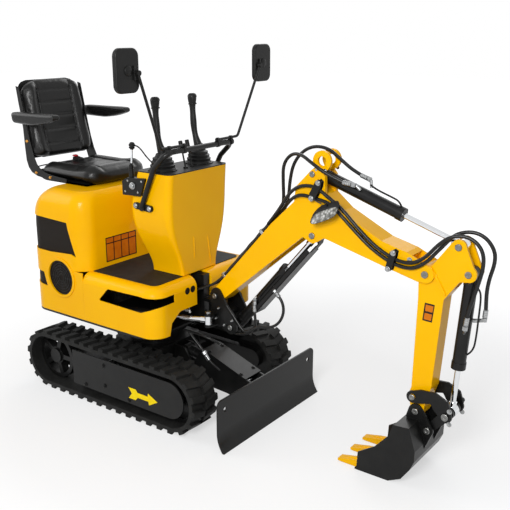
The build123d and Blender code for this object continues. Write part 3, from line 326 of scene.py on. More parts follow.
def woven_mesh():
    """Dark steel mesh behind the windows. Its wires are 1.2 mm thick, drawn 5 mm apart so that they show; the
    gaps between them are painted near black, a painted shade of the space behind.
    """
    material, tree, shader = new_finish("woven_mesh", Roughness=0.55)
    shader.inputs["Specular IOR Level"].default_value = 0.12
    spot = add(tree, "ShaderNodeTexCoord").outputs["Object"]
    lean = add(tree, "ShaderNodeMapping", {"Vector": spot, "Rotation": (0, radians(45), 0)})
    wires_in_metre = 200.0
    waves = {"Vector": lean.outputs["Vector"], "Scale": wires_in_metre / 3.14}
    across_wires = add(tree, "ShaderNodeTexWave", waves, bands_direction="X")
    up_wires = add(tree, "ShaderNodeTexWave", waves, bands_direction="Z")
    wires_and_painted_gaps = add(tree, "ShaderNodeMath", {0: across_wires.outputs["Fac"], 1: up_wires.outputs["Fac"]},
                operation="MAXIMUM")
    # Between the wires the colour goes near black: painted shade that stands for the dark space seen through
    # the mesh.
    paint(tree, shader, wires_and_painted_gaps.outputs["Value"], [(0.55, "050403"), (0.9, "1E150D")])
    bump = add(tree, "ShaderNodeBump", {"Height": wires_and_painted_gaps.outputs["Value"], "Strength": 0.8, "Distance": 0.002})
    tree.links.new(bump.outputs["Normal"], shader.inputs["Normal"])
    return material


MESH = woven_mesh()
print(MESH.name)

# %% Cast aluminium of the engine


def cast_metal():
    """Sand-cast aluminium: grey, dull and slightly rough, seen only through the mesh."""
    material, tree, shader = new_finish("cast_metal", Metallic=0.8, Roughness=0.6)
    paint(tree, shader, wear(tree, 40.0), [(0.3, "4A4A4B"), (0.7, "77787A")])
    bump = add(tree, "ShaderNodeBump", {"Height": wear(tree, 300.0), "Strength": 0.5, "Distance": 0.001})
    tree.links.new(bump.outputs["Normal"], shader.inputs["Normal"])
    return material


CAST = cast_metal()
print(CAST.name)

# %% [markdown]
# ## Finishes on the frame's parts
# Each hard part keeps its own mesh and only takes a finish, because its shape is already right. The
# few that are drawn again further on, such as the seat and the work lamp, are replaced there. A
# table from finish to parts is easier to check than one line for each part.

# %% Give each part its finish
FINISHES = {
    YELLOW: ["hood", "front_cover", "console", "boom", "stick", "bucket_teeth"],
    BLACK: ["track_frame", "track_guards", "sprockets", "idlers", "track_rollers", "drive_motors",
            "slew_bearing", "blade", "blade_cover", "blade_barrel", "deck_plate", "valve_block", "handle_bar",
            "seat_base", "swing_barrel", "swing_post", "boom_barrel", "stick_barrel", "bucket_barrel",
            "guide_links", "bucket_link", "bucket"],
    RUBBER: ["track_left", "track_right", "floor_mat"],
    CHROME: ["blade_rod", "swing_rod", "boom_rod", "stick_rod", "bucket_rod"],
    PLASTIC: ["console_top", "joysticks", "small_levers", "mirrors", "control_box", "seat_shell",
              "work_lamp"],
    VINYL: ["seat_cushion", "seat_back", "armrests"],
    MESH: ["hood_grilles"],
    CAST: ["engine_block"],
}
for finish, names in FINISHES.items():
    for name in names:
        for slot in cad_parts[name].material_slots:
            slot.material = finish
print(sum(len(names) for names in FINISHES.values()), "parts have a finish")

# %% [markdown]
# ## Tools for the small hard parts
# Most of what is missing is turned or cut from plate: pins, hose ends, nuts, clamps. Two helpers
# cover them. One turns a profile round a line, as a lathe does, and one carries an outline across
# the machine, as a saw and a guillotine do. Both lay rings of points and skin them. Each adds to an
# open mesh, so that a whole family of parts on one body becomes a single piece.

# %% Skin rings of points, and turn a profile round a line


def skin(shape, rings):
    """Join rings of points into a closed form, with a cap at each end."""
    for low, high in zip(rings, rings[1:]):
        for k in range(len(low)):
            n = (k + 1) % len(low)
            shape.faces.new((low[k], low[n], high[n], high[k]))
    shape.faces.new(rings[0][::-1])
    shape.faces.new(rings[-1])


def turned(shape, start, end, profile, segments=24):
    """Add a turned form to an open mesh. The profile is pairs of a distance along the line and a radius."""
    begin, finish = place(*start), place(*end)
    axis = (finish - begin).normalized()
    side = axis.orthogonal().normalized()
    up = axis.cross(side)
    spokes = [side * cos(2 * pi * k / segments) + up * sin(2 * pi * k / segments) for k in range(segments)]
    skin(shape, [[shape.verts.new(begin + axis * distance * MM + spoke * radius * MM) for spoke in spokes]
                 for distance, radius in profile])


# %% Cut a plate from a side view or a front view


def plate(shape, outline, low, high):
    """Add a plate to an open mesh: a side-view outline of X and Z, carried from one Y to another."""
    skin(shape, [[shape.verts.new(place(x, y, z)) for x, z in outline] for y in (low, high)])


def panel(shape, outline, low, high):
    """Add a panel to an open mesh: a front-view outline of Y and Z, carried from one X to another."""
    skin(shape, [[shape.verts.new(place(x, y, z)) for y, z in outline] for x in (low, high)])


# %% Close an open mesh as a piece of the machine


def smooth(mesh, degrees=None):
    """Shade a mesh round, and keep the edges crisp that turn by more than an angle."""
    mesh.polygons.foreach_set("use_smooth", [True] * len(mesh.polygons))
    if degrees:
        mesh.set_sharp_from_angle(angle=radians(degrees))


def set_down(name, mesh, finish=None):
    """Put a mesh in the scene as an object, with one finish or as it is."""
    made = bpy.data.objects.new(name, mesh)
    scene.collection.objects.link(made)
    if finish:
        mesh.materials.clear()
        mesh.materials.append(finish)
    return made


def piece(name, shape, finish, body, bevel=0.0):
    """Turn an open mesh into a piece with outward faces and crisp edges, which rides on a body."""
    bmesh.ops.recalc_face_normals(shape, faces=shape.faces)
    mesh = bpy.data.meshes.new(name)
    shape.to_mesh(mesh)
    shape.free()
    smooth(mesh, 32)
    made = set_down(name, mesh, finish)
    if bevel:
        edge = made.modifiers.new("edges", "BEVEL")
        edge.width = bevel * MM
        edge.segments = 2
        edge.limit_method = "ANGLE"
        edge.angle_limit = radians(40)
    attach(made, body)
    return made


print("lathe, plate and piece are ready")

# %% [markdown]
# ## Hydraulic hoses
# Each hose is one smooth line through a few points, because a real hose bends evenly from one end
# to the other. A NURBS curve does that: the points pull on it like clips, and the line stays
# smooth between them. The curve is made a mesh.

# %% Draw a round line, and lay a hose along its route


def round_line(name, kind, places, thickness, roundness):
    """A curve with a round section through places in metres, and its line."""
    curve = bpy.data.curves.new(name, "CURVE")
    curve.dimensions = "3D"
    curve.bevel_depth = thickness / 2 * MM
    curve.bevel_resolution = roundness
    line = curve.splines.new(kind)
    line.points.add(len(places) - 1)
    for point, spot in zip(line.points, places):
        point.co = (*spot, 1)
    return curve, line


def curve_to_mesh(name, curve):
    """The curve as a plain mesh. The curve itself goes."""
    source = bpy.data.objects.new(name + "_line", curve)
    scene.collection.objects.link(source)
    bpy.context.view_layer.update()
    mesh = bpy.data.meshes.new_from_object(source.evaluated_get(bpy.context.evaluated_depsgraph_get()))
    bpy.data.objects.remove(source)
    bpy.data.curves.remove(curve)
    return mesh


def hose(name, route, diameter=18, finish=HOSE):
    """A round hose on a NURBS line, as a mesh piece that still has to be given its body."""
    curve, line = round_line(name, "NURBS", [place(*spot) for spot in route], diameter, 4)
    curve.resolution_u = 8
    curve.use_fill_caps = True
    line.order_u = 3
    line.use_endpoint_u = True
    mesh = curve_to_mesh(name, curve)
    shape = bmesh.new()
    shape.from_mesh(mesh)
    bmesh.ops.remove_doubles(shape, verts=shape.verts, dist=0.00001)
    bmesh.ops.recalc_face_normals(shape, faces=shape.faces)
    shape.to_mesh(mesh)
    shape.free()
    smooth(mesh, 50)
    return set_down(name, mesh, finish)


# %% Hoses from the sleeve to the stick's cylinder
CROWD_ROUTES = [
    [(868, 16, 1166), (912, 16, 1222), (932, 14, 1290), (930, 8, 1400), (938, -4, 1490), (1000, -24, 1552),
     (1080, -54, 1560), (1160, -80, 1526), (1240, -75, 1480), (1330, -50, 1442)],
    [(868, 42, 1166), (915, 42, 1225), (944, 42, 1310), (950, 42, 1400), (972, 40, 1490), (1030, 34, 1560),
     (1110, 22, 1596), (1200, 10, 1592), (1275, 2, 1546), (1345, 0, 1500), (1400, 0, 1478)],
]
for number, route in enumerate(CROWD_ROUTES):
    made = hose(f"crowd_hose_{number}", route)
    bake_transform(made)
    print(made.name, len(made.data.polygons), "faces")

# %% Hoses from the sleeve over the stick's head to the bucket's cylinder
STICK_ROUTES = [
    [(868, -36, 1168), (915, -40, 1224), (968, -52, 1290), (1018, -71, 1352), (1072, -77, 1398),
     (1140, -77, 1414), (1195, -78, 1404), (1250, -77, 1370), (1330, -76, 1322), (1420, -76, 1240),
     (1500, -75, 1175), (1585, -75, 1128), (1660, -76, 1106), (1730, -78, 1112), (1790, -78, 1156),
     (1838, -72, 1218), (1890, -62, 1262), (1945, -46, 1272), (2000, -40, 1256), (2040, -38, 1208),
     (2046, -38, 1140), (2030, -40, 1060), (2010, -44, 980), (1994, -45, 915), (1990, -44, 884)],
    [(868, -12, 1168), (915, -16, 1220), (966, -32, 1264), (1012, -65, 1306), (1058, -79, 1346),
     (1106, -78, 1362), (1156, -78, 1356), (1210, -78, 1348), (1262, -77, 1338), (1330, -76, 1286),
     (1418, -76, 1212), (1500, -75, 1148), (1585, -75, 1104), (1662, -75, 1082), (1735, -77, 1087),
     (1798, -74, 1136), (1822, -62, 1170), (1858, -52, 1214), (1902, -36, 1272), (1974, -20, 1292),
     (2036, -10, 1272), (2078, 0, 1215), (2083, 0, 1157), (2063, 0, 1079), (2056, 1, 1017),
     (2058, 0, 965), (2060, 0, 925)],
]
for number, route in enumerate(STICK_ROUTES):
    made = hose(f"stick_hose_{number}", route)
    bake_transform(made)
    print(made.name, len(made.data.polygons), "faces")

# %% Woven sleeve that keeps the hoses together on the boom's back


def woven_nylon():
    """Tubular nylon sleeve: black threads about 2 mm wide, laid over and under, with a dull sheen."""
    material, tree, shader = new_finish("woven_nylon", Roughness=0.6, IOR=1.53)
    spot = add(tree, "ShaderNodeTexCoord").outputs["Object"]
    lean = add(tree, "ShaderNodeMapping", {"Vector": spot, "Rotation": (0, radians(48.3), 0)})
    waves = {"Vector": lean.outputs["Vector"], "Scale": 80.0}
    along_threads = add(tree, "ShaderNodeTexWave", waves, bands_direction="X")
    across_threads = add(tree, "ShaderNodeTexWave", waves, bands_direction="Y")
    weave = add(tree, "ShaderNodeMath", {0: along_threads.outputs["Fac"], 1: across_threads.outputs["Fac"]},
                operation="MULTIPLY")
    paint(tree, shader, weave.outputs["Value"], [(0.1, "0C0C0D"), (0.8, "1E1E20")])
    bump = add(tree, "ShaderNodeBump", {"Height": weave.outputs["Value"], "Strength": 0.5, "Distance": 0.001})
    tree.links.new(bump.outputs["Normal"], shader.inputs["Normal"])
    return material


NYLON = woven_nylon()
print(NYLON.name)

# %% Lay the sleeve on the boom
SLEEVE_FOOT, SLEEVE_ALONG = (512, 739), (0.6652, 0.7467)
SLEEVE_START, SLEEVE_LENGTH, SLEEVE_STEPS, SLEEVE_SIDES = 60, 500, 40, 28
SLEEVE_HALF_WIDTH, SLEEVE_HALF_HEIGHT, SLEEVE_MIDDLE = 52, 12.5, 14.5


def beside(foot, along, distance, rise):
    """A side-view place: a distance along a line from its foot, and a rise square to it."""
    return (foot[0] + along[0] * distance - along[1] * rise, foot[1] + along[1] * distance + along[0] * rise)


def squared_circle(angle, power):
    """How far a circle that is drawn towards its square reaches at an angle."""
    return (abs(cos(angle)) ** power + abs(sin(angle)) ** power) ** (-1 / power)


sleeve = bmesh.new()
rings = []
for k in range(SLEEVE_STEPS + 1):
    distance = SLEEVE_START + SLEEVE_LENGTH * k / SLEEVE_STEPS
    swell = 1.5 * sin(2 * pi * k / 8) + 2.0 * noise.noise(Vector((k * 0.21, 3.7, 0.4)))
    ring = []
    for j in range(SLEEVE_SIDES):
        angle = 2 * pi * j / SLEEVE_SIDES
        reach = squared_circle(angle, 3)
        x, z = beside(SLEEVE_FOOT, SLEEVE_ALONG, distance,
                      SLEEVE_MIDDLE + (SLEEVE_HALF_HEIGHT + swell * 0.5) * reach * sin(angle))
        ring.append(sleeve.verts.new(place(x, (SLEEVE_HALF_WIDTH + swell) * reach * cos(angle), z)))
    rings.append(ring)
skin(sleeve, rings)
piece("hose_sleeve", sleeve, NYLON, "boom")
print("sleeve on the boom's back")

# %% Four hoses at the boom's foot
for number, y in enumerate((-38, -56.5, -75, -93.5)):
    swing = hose(f"swing_hose_{number}", [(307, y, 652), (342, y, 688), (378, y, 712), (412, y + 4, 726),
                                          (440, y + 16, 735)], 15)
    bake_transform(swing)
    foot = hose(f"foot_hose_{number}", [(438, y + 15, 734), (480, y + 32, 753), (518, y + 46, 776),
                                        (552, y + 56, 810)], 15)
    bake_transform(foot)
print("eight short hoses cross the swing pin and the boom's foot")

# %% Hoses of the boom's cylinder
BOOM_CYLINDER_ROUTES = [
    [(788, -50, 664), (789, -50, 640), (797, -52, 595), (790, -62, 556), (752, -72, 528), (700, -72, 512),
     (650, -66, 506), (600, -52, 520)],
    [(946, -50, 783), (970, -50, 761), (984, -50, 707), (967, -52, 649), (928, -56, 606), (874, -62, 588),
     (822, -72, 584), (760, -90, 540), (728, -92, 556), (678, -92, 616), (622, -86, 668)],
]
for number, route in enumerate(BOOM_CYLINDER_ROUTES):
    made = hose(f"boom_cylinder_hose_{number}", route, 16)
    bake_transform(made)
print("two hoses feed the boom's cylinder")

# %% Hoses of the blade's cylinder
BLADE_ROUTES = [
    [(330, -120, 468), (380, -128, 474), (430, -130, 472), (480, -128, 468), (530, -112, 452),
     (562, -84, 424)],
    [(340, -95, 450), (388, -95, 407), (433, -92, 367), (487, -88, 305), (520, -80, 276), (551, -66, 250)],
]
for number, route in enumerate(BLADE_ROUTES):
    made = hose(f"blade_hose_{number}", route, 15)
    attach(made, "undercarriage")
print("two hoses reach the blade's cylinder")

# %% [markdown]
# ## Hose ends, nuts and clamps
# A hose is crimped into a bright zinc sleeve with a nut behind it, and the small light glints
# of these ends are what makes the arm look like a hydraulic one. They are turned parts. One profile
# serves all: a long crimped sleeve with rings, then a six-sided nut.

# %% Crimp a hose end at a place


def hose_end(shape, start, end, radius=12):
    """Crimped sleeve with its four grooves, then a nut at the far end of the line."""
    length = (Vector(end) - Vector(start)).length
    crimped = length * 0.62
    profile = [(0, radius - 2), (1, radius)]
    for k in range(4):
        step = crimped * (k + 0.6) / 4.4
        profile += [(step - 1.6, radius), (step - 0.8, radius - 1.4), (step + 0.8, radius - 1.4),
                    (step + 1.6, radius)]
    profile += [(crimped - 1, radius), (crimped, radius - 2.5), (crimped + 2, radius - 4)]
    turned(shape, start, end, profile)
    axis = (Vector(end) - Vector(start)).normalized()
    nut = Vector(start) + axis * (crimped + 2)
    span = length - crimped - 2
    turned(shape, nut, end, [(0, radius - 2), (1.5, radius + 1.5), (span - 1.5, radius + 1.5),
                             (span, radius - 2)], 6)


ends = bmesh.new()
hose_end(ends, (1322, -52, 1444), (1392, -46, 1436))
hose_end(ends, (1392, 0, 1480), (1448, 0, 1462))
turned(ends, (1392, -46, 1436), (1418, -40, 1410), [(0, 8), (30, 8)])
turned(ends, (1448, 0, 1462), (1452, 0, 1420), [(0, 8), (38, 8)])
piece("crowd_hose_ends", ends, ZINC, "stick_barrel")
ends = bmesh.new()
hose_end(ends, (1991, -44, 892), (1984, -42, 826))
hose_end(ends, (2060, 0, 932), (2056, 0, 872))
turned(ends, (1984, -42, 826), (1972, -20, 800), [(0, 8), (34, 8)])
turned(ends, (2056, 0, 880), (2004, 0, 866), [(0, 10), (54, 10)])
piece("bucket_hose_ends", ends, ZINC, "bucket_barrel")
ends = bmesh.new()
hose_end(ends, (788, -50, 660), (788, -50, 724))
hose_end(ends, (952, -50, 778), (916, -46, 806))
turned(ends, (788, -50, 730), (786, -20, 730), [(0, 11), (30, 11)])
turned(ends, (916, -46, 806), (904, -20, 822), [(0, 9), (32, 9)])
piece("boom_hose_ends", ends, ZINC, "boom_barrel")
ends = bmesh.new()
hose_end(ends, (487, -88, 305), (449, -92, 352))
piece("blade_hose_ends", ends, ZINC, "undercarriage")
print("crimped ends on seven hoses")

# %% Hard lines along the cylinders
HARD_LINES = [
    ("crowd_line", "stick_barrel",
     [(1452, -10, 1440), (1480, -14, 1424), (1565, -14, 1397), (1610, -12, 1380), (1618, -6, 1352)]),
    ("bucket_line", "bucket_barrel",
     [(2012, -30, 1046), (2034, -26, 1030), (2040, -20, 985), (2034, -14, 890), (2030, -12, 800),
      (2020, -8, 720), (1990, -4, 694)]),
    ("boom_line", "boom_barrel",
     [(806, -44, 742), (840, -44, 786), (880, -44, 832), (930, -40, 892), (948, -26, 900)]),
]
for name, body, route in HARD_LINES:
    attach(hose(name, route, 9, BLACK), body)
print("three hard lines")

# %% Boom cylinder's rod with its sliding guard
ROD_FOOT, ROD_HEAD = Vector((640, 540)), Vector((1160, 1154))
ROD_REACH = (ROD_HEAD - ROD_FOOT).length
ROD_LINE = (ROD_HEAD - ROD_FOOT) / ROD_REACH
ROD_START, ROD_RADIUS, ROD_HEAD_RADIUS = 330, 14, 19
GUARD_START, GUARD_END, GUARD_DROP, GUARD_HALF = 176, ROD_REACH - 92, 40, 46
GUARD_LIP, GUARD_SHEET = 20, 5


def on_rod(distance, rise):
    """A side-view place measured along the boom's cylinder and square to it."""
    return beside(ROD_FOOT, ROD_LINE, distance, rise)


def rod_place(distance):
    """A place on the cylinder's own line."""
    x, z = on_rod(distance, 0)
    return (x, 0, z)


shaft = bmesh.new()
turned(shaft, rod_place(ROD_START), rod_place(ROD_REACH - 20),
       [(0, ROD_RADIUS), (ROD_REACH - 420, ROD_RADIUS), (ROD_REACH - 418, ROD_HEAD_RADIUS),
        (ROD_REACH - 350, ROD_HEAD_RADIUS)], 32)
shaft_piece = piece("boom_piston_rod", shaft, CHROME, "boom_rod")
guard = bmesh.new()
turned(guard, (1160, -24, 1154), (1160, 24, 1154), [(0, 27), (2, 29), (46, 29), (48, 27)], 32)
low, high = -GUARD_DROP - GUARD_SHEET, GUARD_LIP - GUARD_DROP
floor_line = low + GUARD_SHEET
plate(guard, [on_rod(GUARD_START, low), on_rod(GUARD_END, low), on_rod(GUARD_END, floor_line),
              on_rod(GUARD_START, floor_line)], -GUARD_HALF, GUARD_HALF)
cheek = [on_rod(GUARD_START, low), on_rod(GUARD_END, low), on_rod(GUARD_END, high), on_rod(GUARD_START, high)]
plate(guard, cheek, -GUARD_HALF, GUARD_SHEET - GUARD_HALF)
plate(guard, cheek, GUARD_HALF - GUARD_SHEET, GUARD_HALF)
plate(guard, [on_rod(GUARD_END - 2, floor_line), on_rod(GUARD_END - 2, low), on_rod(ROD_REACH - 30, low),
              on_rod(ROD_REACH + 4, -26), on_rod(ROD_REACH - 20, -12), on_rod(ROD_REACH - 34, floor_line)],
      -24, 24)
guard_piece = piece("boom_rod_guard", guard, BLACK, "boom_rod", 1.5)
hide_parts("boom_rod")
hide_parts("boom_rod")
print("rod is bright and its guard black")

# %% Clamps over the hoses
CLAMP_OUTLINES = [
    [(1188, 1440), (1206, 1452), (1222, 1440), (1218, 1412), (1186, 1346), (1168, 1336), (1150, 1348),
     (1156, 1376)],
    [(1610, 1152), (1626, 1164), (1642, 1156), (1640, 1134), (1620, 1060), (1604, 1050), (1588, 1058),
     (1592, 1082)],
]
clamps = bmesh.new()
for outline in CLAMP_OUTLINES:
    plate(clamps, outline, -94, -88)
    plate(clamps, outline, -66, -62.5)
piece("hose_clamps", clamps, BLACK, "boom", 1.2)
CLAMP_BOLT = [(0, 5), (30, 5), (30.2, 14), (32, 14), (32.2, 10), (39, 10), (41, 8)]
clamp_bolts = bmesh.new()
for x, z in [(1205, 1434), (1167, 1352), (1627, 1148), (1603, 1066)]:
    turned(clamp_bolts, (x, -64, z), (x, -106, z), CLAMP_BOLT, 12)
piece("clamp_bolts", clamp_bolts, ZINC, "boom")
BAND_HALF, BAND_TOP, BAND_REACH = 9, 28.5, 56.5
bands = bmesh.new()
for middle in (110, 500):
    strap = [beside(SLEEVE_FOOT, SLEEVE_ALONG, middle + step, rise) for rise, step in
             [(0, -BAND_HALF), (0, BAND_HALF), (BAND_TOP, BAND_HALF), (BAND_TOP, -BAND_HALF)]]
    plate(bands, strap, -BAND_REACH, BAND_REACH)
piece("sleeve_bands", bands, ZINC, "boom", 1.2)
print("clamps and bands hold the bundle")

# %% [markdown]
# ## The seat
# The seat is foam under black vinyl, on a moulded shell whose side panels curve from the back's top
# round to the nose. Its back has a raised bolster down each side, and seams across its middle.
# A pad is first drawn as a closed form from two height fields. It is then remeshed evenly and
# blown up a little by a cloth simulation, as foam fills its cover, and its piping is laid last.

# %% Blow up a pad like foam in its cover


def closed_pad(name, surface, columns, rows):
    """A closed form between the two sides of surface(u, v, side), u from -1 to 1 and v from 0 to 1."""
    shape = bmesh.new()
    for side in (0, 1):
        grid = [[shape.verts.new(surface(-1 + 2 * i / columns, j / rows, side)) for i in range(columns + 1)]
                for j in range(rows + 1)]
        for j in range(rows):
            for i in range(columns):
                corners = (grid[j][i], grid[j][i + 1], grid[j + 1][i + 1], grid[j + 1][i])
                shape.faces.new(corners[::-1] if side else corners)
    bmesh.ops.remove_doubles(shape, verts=shape.verts, dist=0.0002)
    bmesh.ops.recalc_face_normals(shape, faces=shape.faces)
    mesh = bpy.data.meshes.new(name)
    shape.to_mesh(mesh)
    shape.free()
    return set_down(name, mesh)


def inflated(pad, voxel=6.0, cap=6.0):
    """Remesh a pad evenly, let a cloth's inner pressure fill it, hold each point within a cap, and smooth."""
    bpy.context.view_layer.objects.active = pad
    pad.data.remesh_voxel_size = voxel * MM
    bpy.ops.object.select_all(action="DESELECT")
    pad.select_set(True)
    bpy.ops.object.voxel_remesh()
    rest = [vertex.co.copy() for vertex in pad.data.vertices]
    cloth = pad.modifiers.new("foam", "CLOTH")
    cloth.settings.use_pressure = True
    cloth.settings.uniform_pressure_force = 4.0
    cloth.settings.effector_weights.gravity = 0.0
    for number in range(1, 21):
        scene.frame_set(number)
    blown = pad.evaluated_get(bpy.context.evaluated_depsgraph_get())
    moved = [vertex.co.copy() for vertex in blown.data.vertices]
    pad.modifiers.remove(cloth)
    scene.frame_set(1)
    for vertex, start, end in zip(pad.data.vertices, rest, moved):
        step = end - start
        vertex.co = start + step * min(1.0, cap * MM / max(step.length, 1e-9))
    even = pad.modifiers.new("even", "SMOOTH")
    even.iterations = 3
    even.factor = 0.5
    fine = pad.modifiers.new("fine", "SUBSURF")
    fine.levels = fine.render_levels = 1
    mesh = bpy.data.meshes.new_from_object(pad.evaluated_get(bpy.context.evaluated_depsgraph_get()))
    pad.modifiers.clear()
    pad.data = mesh
    smooth(mesh)
    mesh.materials.clear()
    mesh.materials.append(VINYL)
    print(pad.name, len(mesh.polygons), "faces")
    return pad


EULER = 2.718


def bump_at(value, centre, width):
    """A smooth bump of height 1 round a centre."""
    return pow(EULER, -((value - centre) / width) ** 2)


def seams(value, places):
    """How deep the seams across a pad are at a place along it, as a share of their full depth."""
    return sum(bump_at(value, seam, 0.014) for seam in places)


# %% Seat back
BACK_HALF, BACK_LOW, BACK_HIGH = 243, (-768, 1376), (-874, 1862)
BACK_SEAMS, BACK_LEAN = (0.17, 0.34, 0.51, 0.68, 0.84), (0.977, 0.213)
WELT, PANEL_HALF = 132, 130


def back_place(across_share, up_share, side, lift=0.0):
    """A place on the seat back's pad: width, height along the leaning back, front or rear."""
    corner = max(0.0, (up_share - 0.80) / 0.20)
    foot = max(0.0, (0.10 - up_share) / 0.10)
    half = BACK_HALF * (1 - 0.05 * up_share)
    half *= max(0.02, (1 - corner ** 2.6)) ** 0.38 * max(0.3, 1 - foot ** 2) ** 0.25
    y = across_share * half
    edge = max(0.0, 1 - abs(across_share) ** 7) ** 0.5 * max(0.0, 1 - abs(2 * up_share - 1) ** 12) ** 0.5
    x = BACK_LOW[0] + (BACK_HIGH[0] - BACK_LOW[0]) * up_share - 14 * sin(pi * up_share)
    z = BACK_LOW[1] + (BACK_HIGH[1] - BACK_LOW[1]) * up_share
    if side:
        depth = 30 + 26 * bump_at(abs(y), 184, 36) - 7 * bump_at(abs(y), WELT, 8)
        if abs(y) < PANEL_HALF:
            depth -= 6 * seams(up_share, BACK_SEAMS)
        depth = (depth + lift) * edge
    else:
        depth = -14 * edge
    return place(x + BACK_LEAN[0] * depth, y, z + BACK_LEAN[1] * depth)


seat_back = inflated(closed_pad("seat_back_pad", back_place, 56, 64))
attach(seat_back, "upper")
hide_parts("seat_back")

# %% Seat cushion
CUSHION_HALF, CUSHION_REAR, CUSHION_FRONT = 240, -736, -240
CUSHION_SEAMS = (0.22, 0.44, 0.66)


def cushion_place(across_share, forward_share, side, lift=0.0):
    """A place on the cushion: width, distance to the front, top or bottom. Its nose is full and round."""
    nose = max(0.0, (forward_share - 0.78) / 0.22)
    heel = max(0.0, (0.12 - forward_share) / 0.12)
    y = across_share * CUSHION_HALF * max(0.05, 1 - nose ** 3) ** 0.3 * max(0.3, 1 - heel ** 3) ** 0.3
    edge = max(0.0, 1 - abs(across_share) ** 6) ** 0.42
    edge *= max(0.0, 1 - abs(2 * forward_share - 1) ** 9) ** 0.45
    x = CUSHION_REAR + (CUSHION_FRONT - CUSHION_REAR) * forward_share
    middle = 1318 - 6 * forward_share
    if side:
        depth = 38 + 14 * bump_at(abs(y), 182, 40) - 5 * bump_at(abs(y), WELT, 8)
        depth += 14 * bump_at(forward_share, 0.84, 0.14)
        if abs(y) < PANEL_HALF - 2:
            depth -= 4 * seams(forward_share, CUSHION_SEAMS)
        depth = (depth + lift) * edge
    else:
        depth = -(34 + 16 * bump_at(forward_share, 0.92, 0.12)) * edge
    return place(x, y, middle + depth)


cushion = inflated(closed_pad("seat_cushion_pad", cushion_place, 56, 56), cap=4.0)
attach(cushion, "upper")
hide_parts("seat_cushion")

# %% Armrests
for side, label in ((-1, "near"), (1, "far")):
    def armrest_place(across_share, along_share, top, side=side):
        """A place on an armrest: flat above, and deeper below its middle."""
        y = side * (290 + 27 * across_share)
        x = -864 + 392 * along_share
        edge = max(0.0, 1 - abs(across_share) ** 8) ** 0.5
        edge *= max(0.0, 1 - abs(2 * along_share - 1) ** 34) ** 0.5
        middle = 1652 + 4 * along_share
        if top:
            return place(x, y, middle + 20 * edge)
        taper = max(0.0, along_share - 0.45) / 0.55
        return place(x, y, middle - (46 + 8 * sin(pi * along_share) - 34 * taper ** 1.6) * edge)

    rest = inflated(closed_pad(f"armrest_pad_{label}", armrest_place, 16, 96), 5.0, 2.0)
    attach(rest, "upper")
    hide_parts("armrests")

# %% Piping along the welts
WELT_STEPS, WELT_THICKNESS, WELT_LIFT = 60, 6.0, 8.0
for label, surface, half in (("back", back_place, BACK_HALF), ("cushion", cushion_place, CUSHION_HALF)):
    for side, hand in ((-1, "right"), (1, "left")):
        name = f"seat_{label}_welt_{hand}"
        places = [surface(side * WELT / half, k / WELT_STEPS, 1, WELT_LIFT) for k in range(8, WELT_STEPS - 7)]
        mesh = curve_to_mesh(name, round_line(name, "POLY", places, WELT_THICKNESS, 2)[0])
        smooth(mesh)
        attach(set_down(name, mesh, VINYL), "upper")
print("piping laid")

# %% Back panel and pan of the seat's shell
SHELL_HALF, SHELL_CORNER, SHELL_TALL, SHELL_WALL = 229, 74, 470, 12


def shell_back(across_share, up_share, side):
    """A place on the shell's back panel, whose top corners are round."""
    down = (1 - up_share) * SHELL_TALL
    half = SHELL_HALF
    if down <= SHELL_CORNER:
        half += sqrt(max(0.0, SHELL_CORNER ** 2 - (SHELL_CORNER - down) ** 2)) - SHELL_CORNER
    x = -790 - 102 * up_share - 14 * sin(pi * up_share)
    return place(x - (SHELL_WALL if side else 0), across_share * half, 1384 + 468 * up_share)


def shell_pan(across_share, forward_share, side):
    """A place on the pan below the cushion, which turns up at its rear."""
    rise = max(0.0, 0.22 - forward_share) / 0.22
    level = 1262 + 44 * rise ** 2 + (SHELL_WALL if side else 0)
    return place(-752 + 452 * forward_share, across_share * 243, level)


for label, surface, columns, rows in (("back", shell_back, 40, 48), ("pan", shell_pan, 12, 24)):
    sheet = closed_pad(f"seat_shell_{label}", surface, columns, rows)
    smooth(sheet.data, 40)
    sheet.data.materials.append(PLASTIC)
    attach(sheet, "upper")
    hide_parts("seat_shell")
print("shell is open between back and cushion")

# %% Side panels of the seat's shell
shell = bmesh.new()
OUTER = [(-884, 1822), (-868, 1720), (-852, 1640), (-842, 1561), (-838, 1450), (-832, 1372), (-816, 1328),
         (-788, 1298), (-738, 1280), (-660, 1271), (-560, 1267), (-470, 1267)]
INNER = [(-470, 1290), (-560, 1296), (-640, 1304), (-700, 1322), (-736, 1352), (-760, 1400), (-782, 1470),
         (-804, 1561), (-820, 1640), (-838, 1730), (-856, 1815)]
for low, high in ((-250, -243), (243, 250)):
    plate(shell, OUTER + INNER, low, high)
piece("seat_side_panels", shell, PLASTIC, "upper", 2.5)
SEAT_BOLT = [(0, 10), (2, 10), (2.2, 7), (7, 7), (8, 5)]
bolts = bmesh.new()
for x, z in [(-812, 1489), (-745, 1300), (-616, 1284)]:
    for side in (-1, 1):
        turned(bolts, (x, side * 249.5, z), (x, side * 258, z), SEAT_BOLT, 6)
piece("seat_bolts", bolts, BRASS, "upper", 0.6)
print("side panels with three bolts a side")

# %% Belt buckle
buckle = bmesh.new()
plate(buckle, [(-668, 1352), (-606, 1354), (-606, 1372), (-664, 1380)], -24, 22)
piece("belt_buckle", buckle, PLASTIC, "upper", 4.0)
button = bmesh.new()
plate(button, [(-676, 1380.5), (-650, 1379), (-650, 1388), (-674, 1390)], -16, 14)


def red_button():
    """Glossy red push button of the belt: a small bright spot on the black seat."""
    material, tree, shader = new_finish("red_button", Roughness=0.25, IOR=1.49)
    paint(tree, shader, wear(tree, 60.0), [(0.3, "B0101C"), (0.7, "C41824")])
    return material


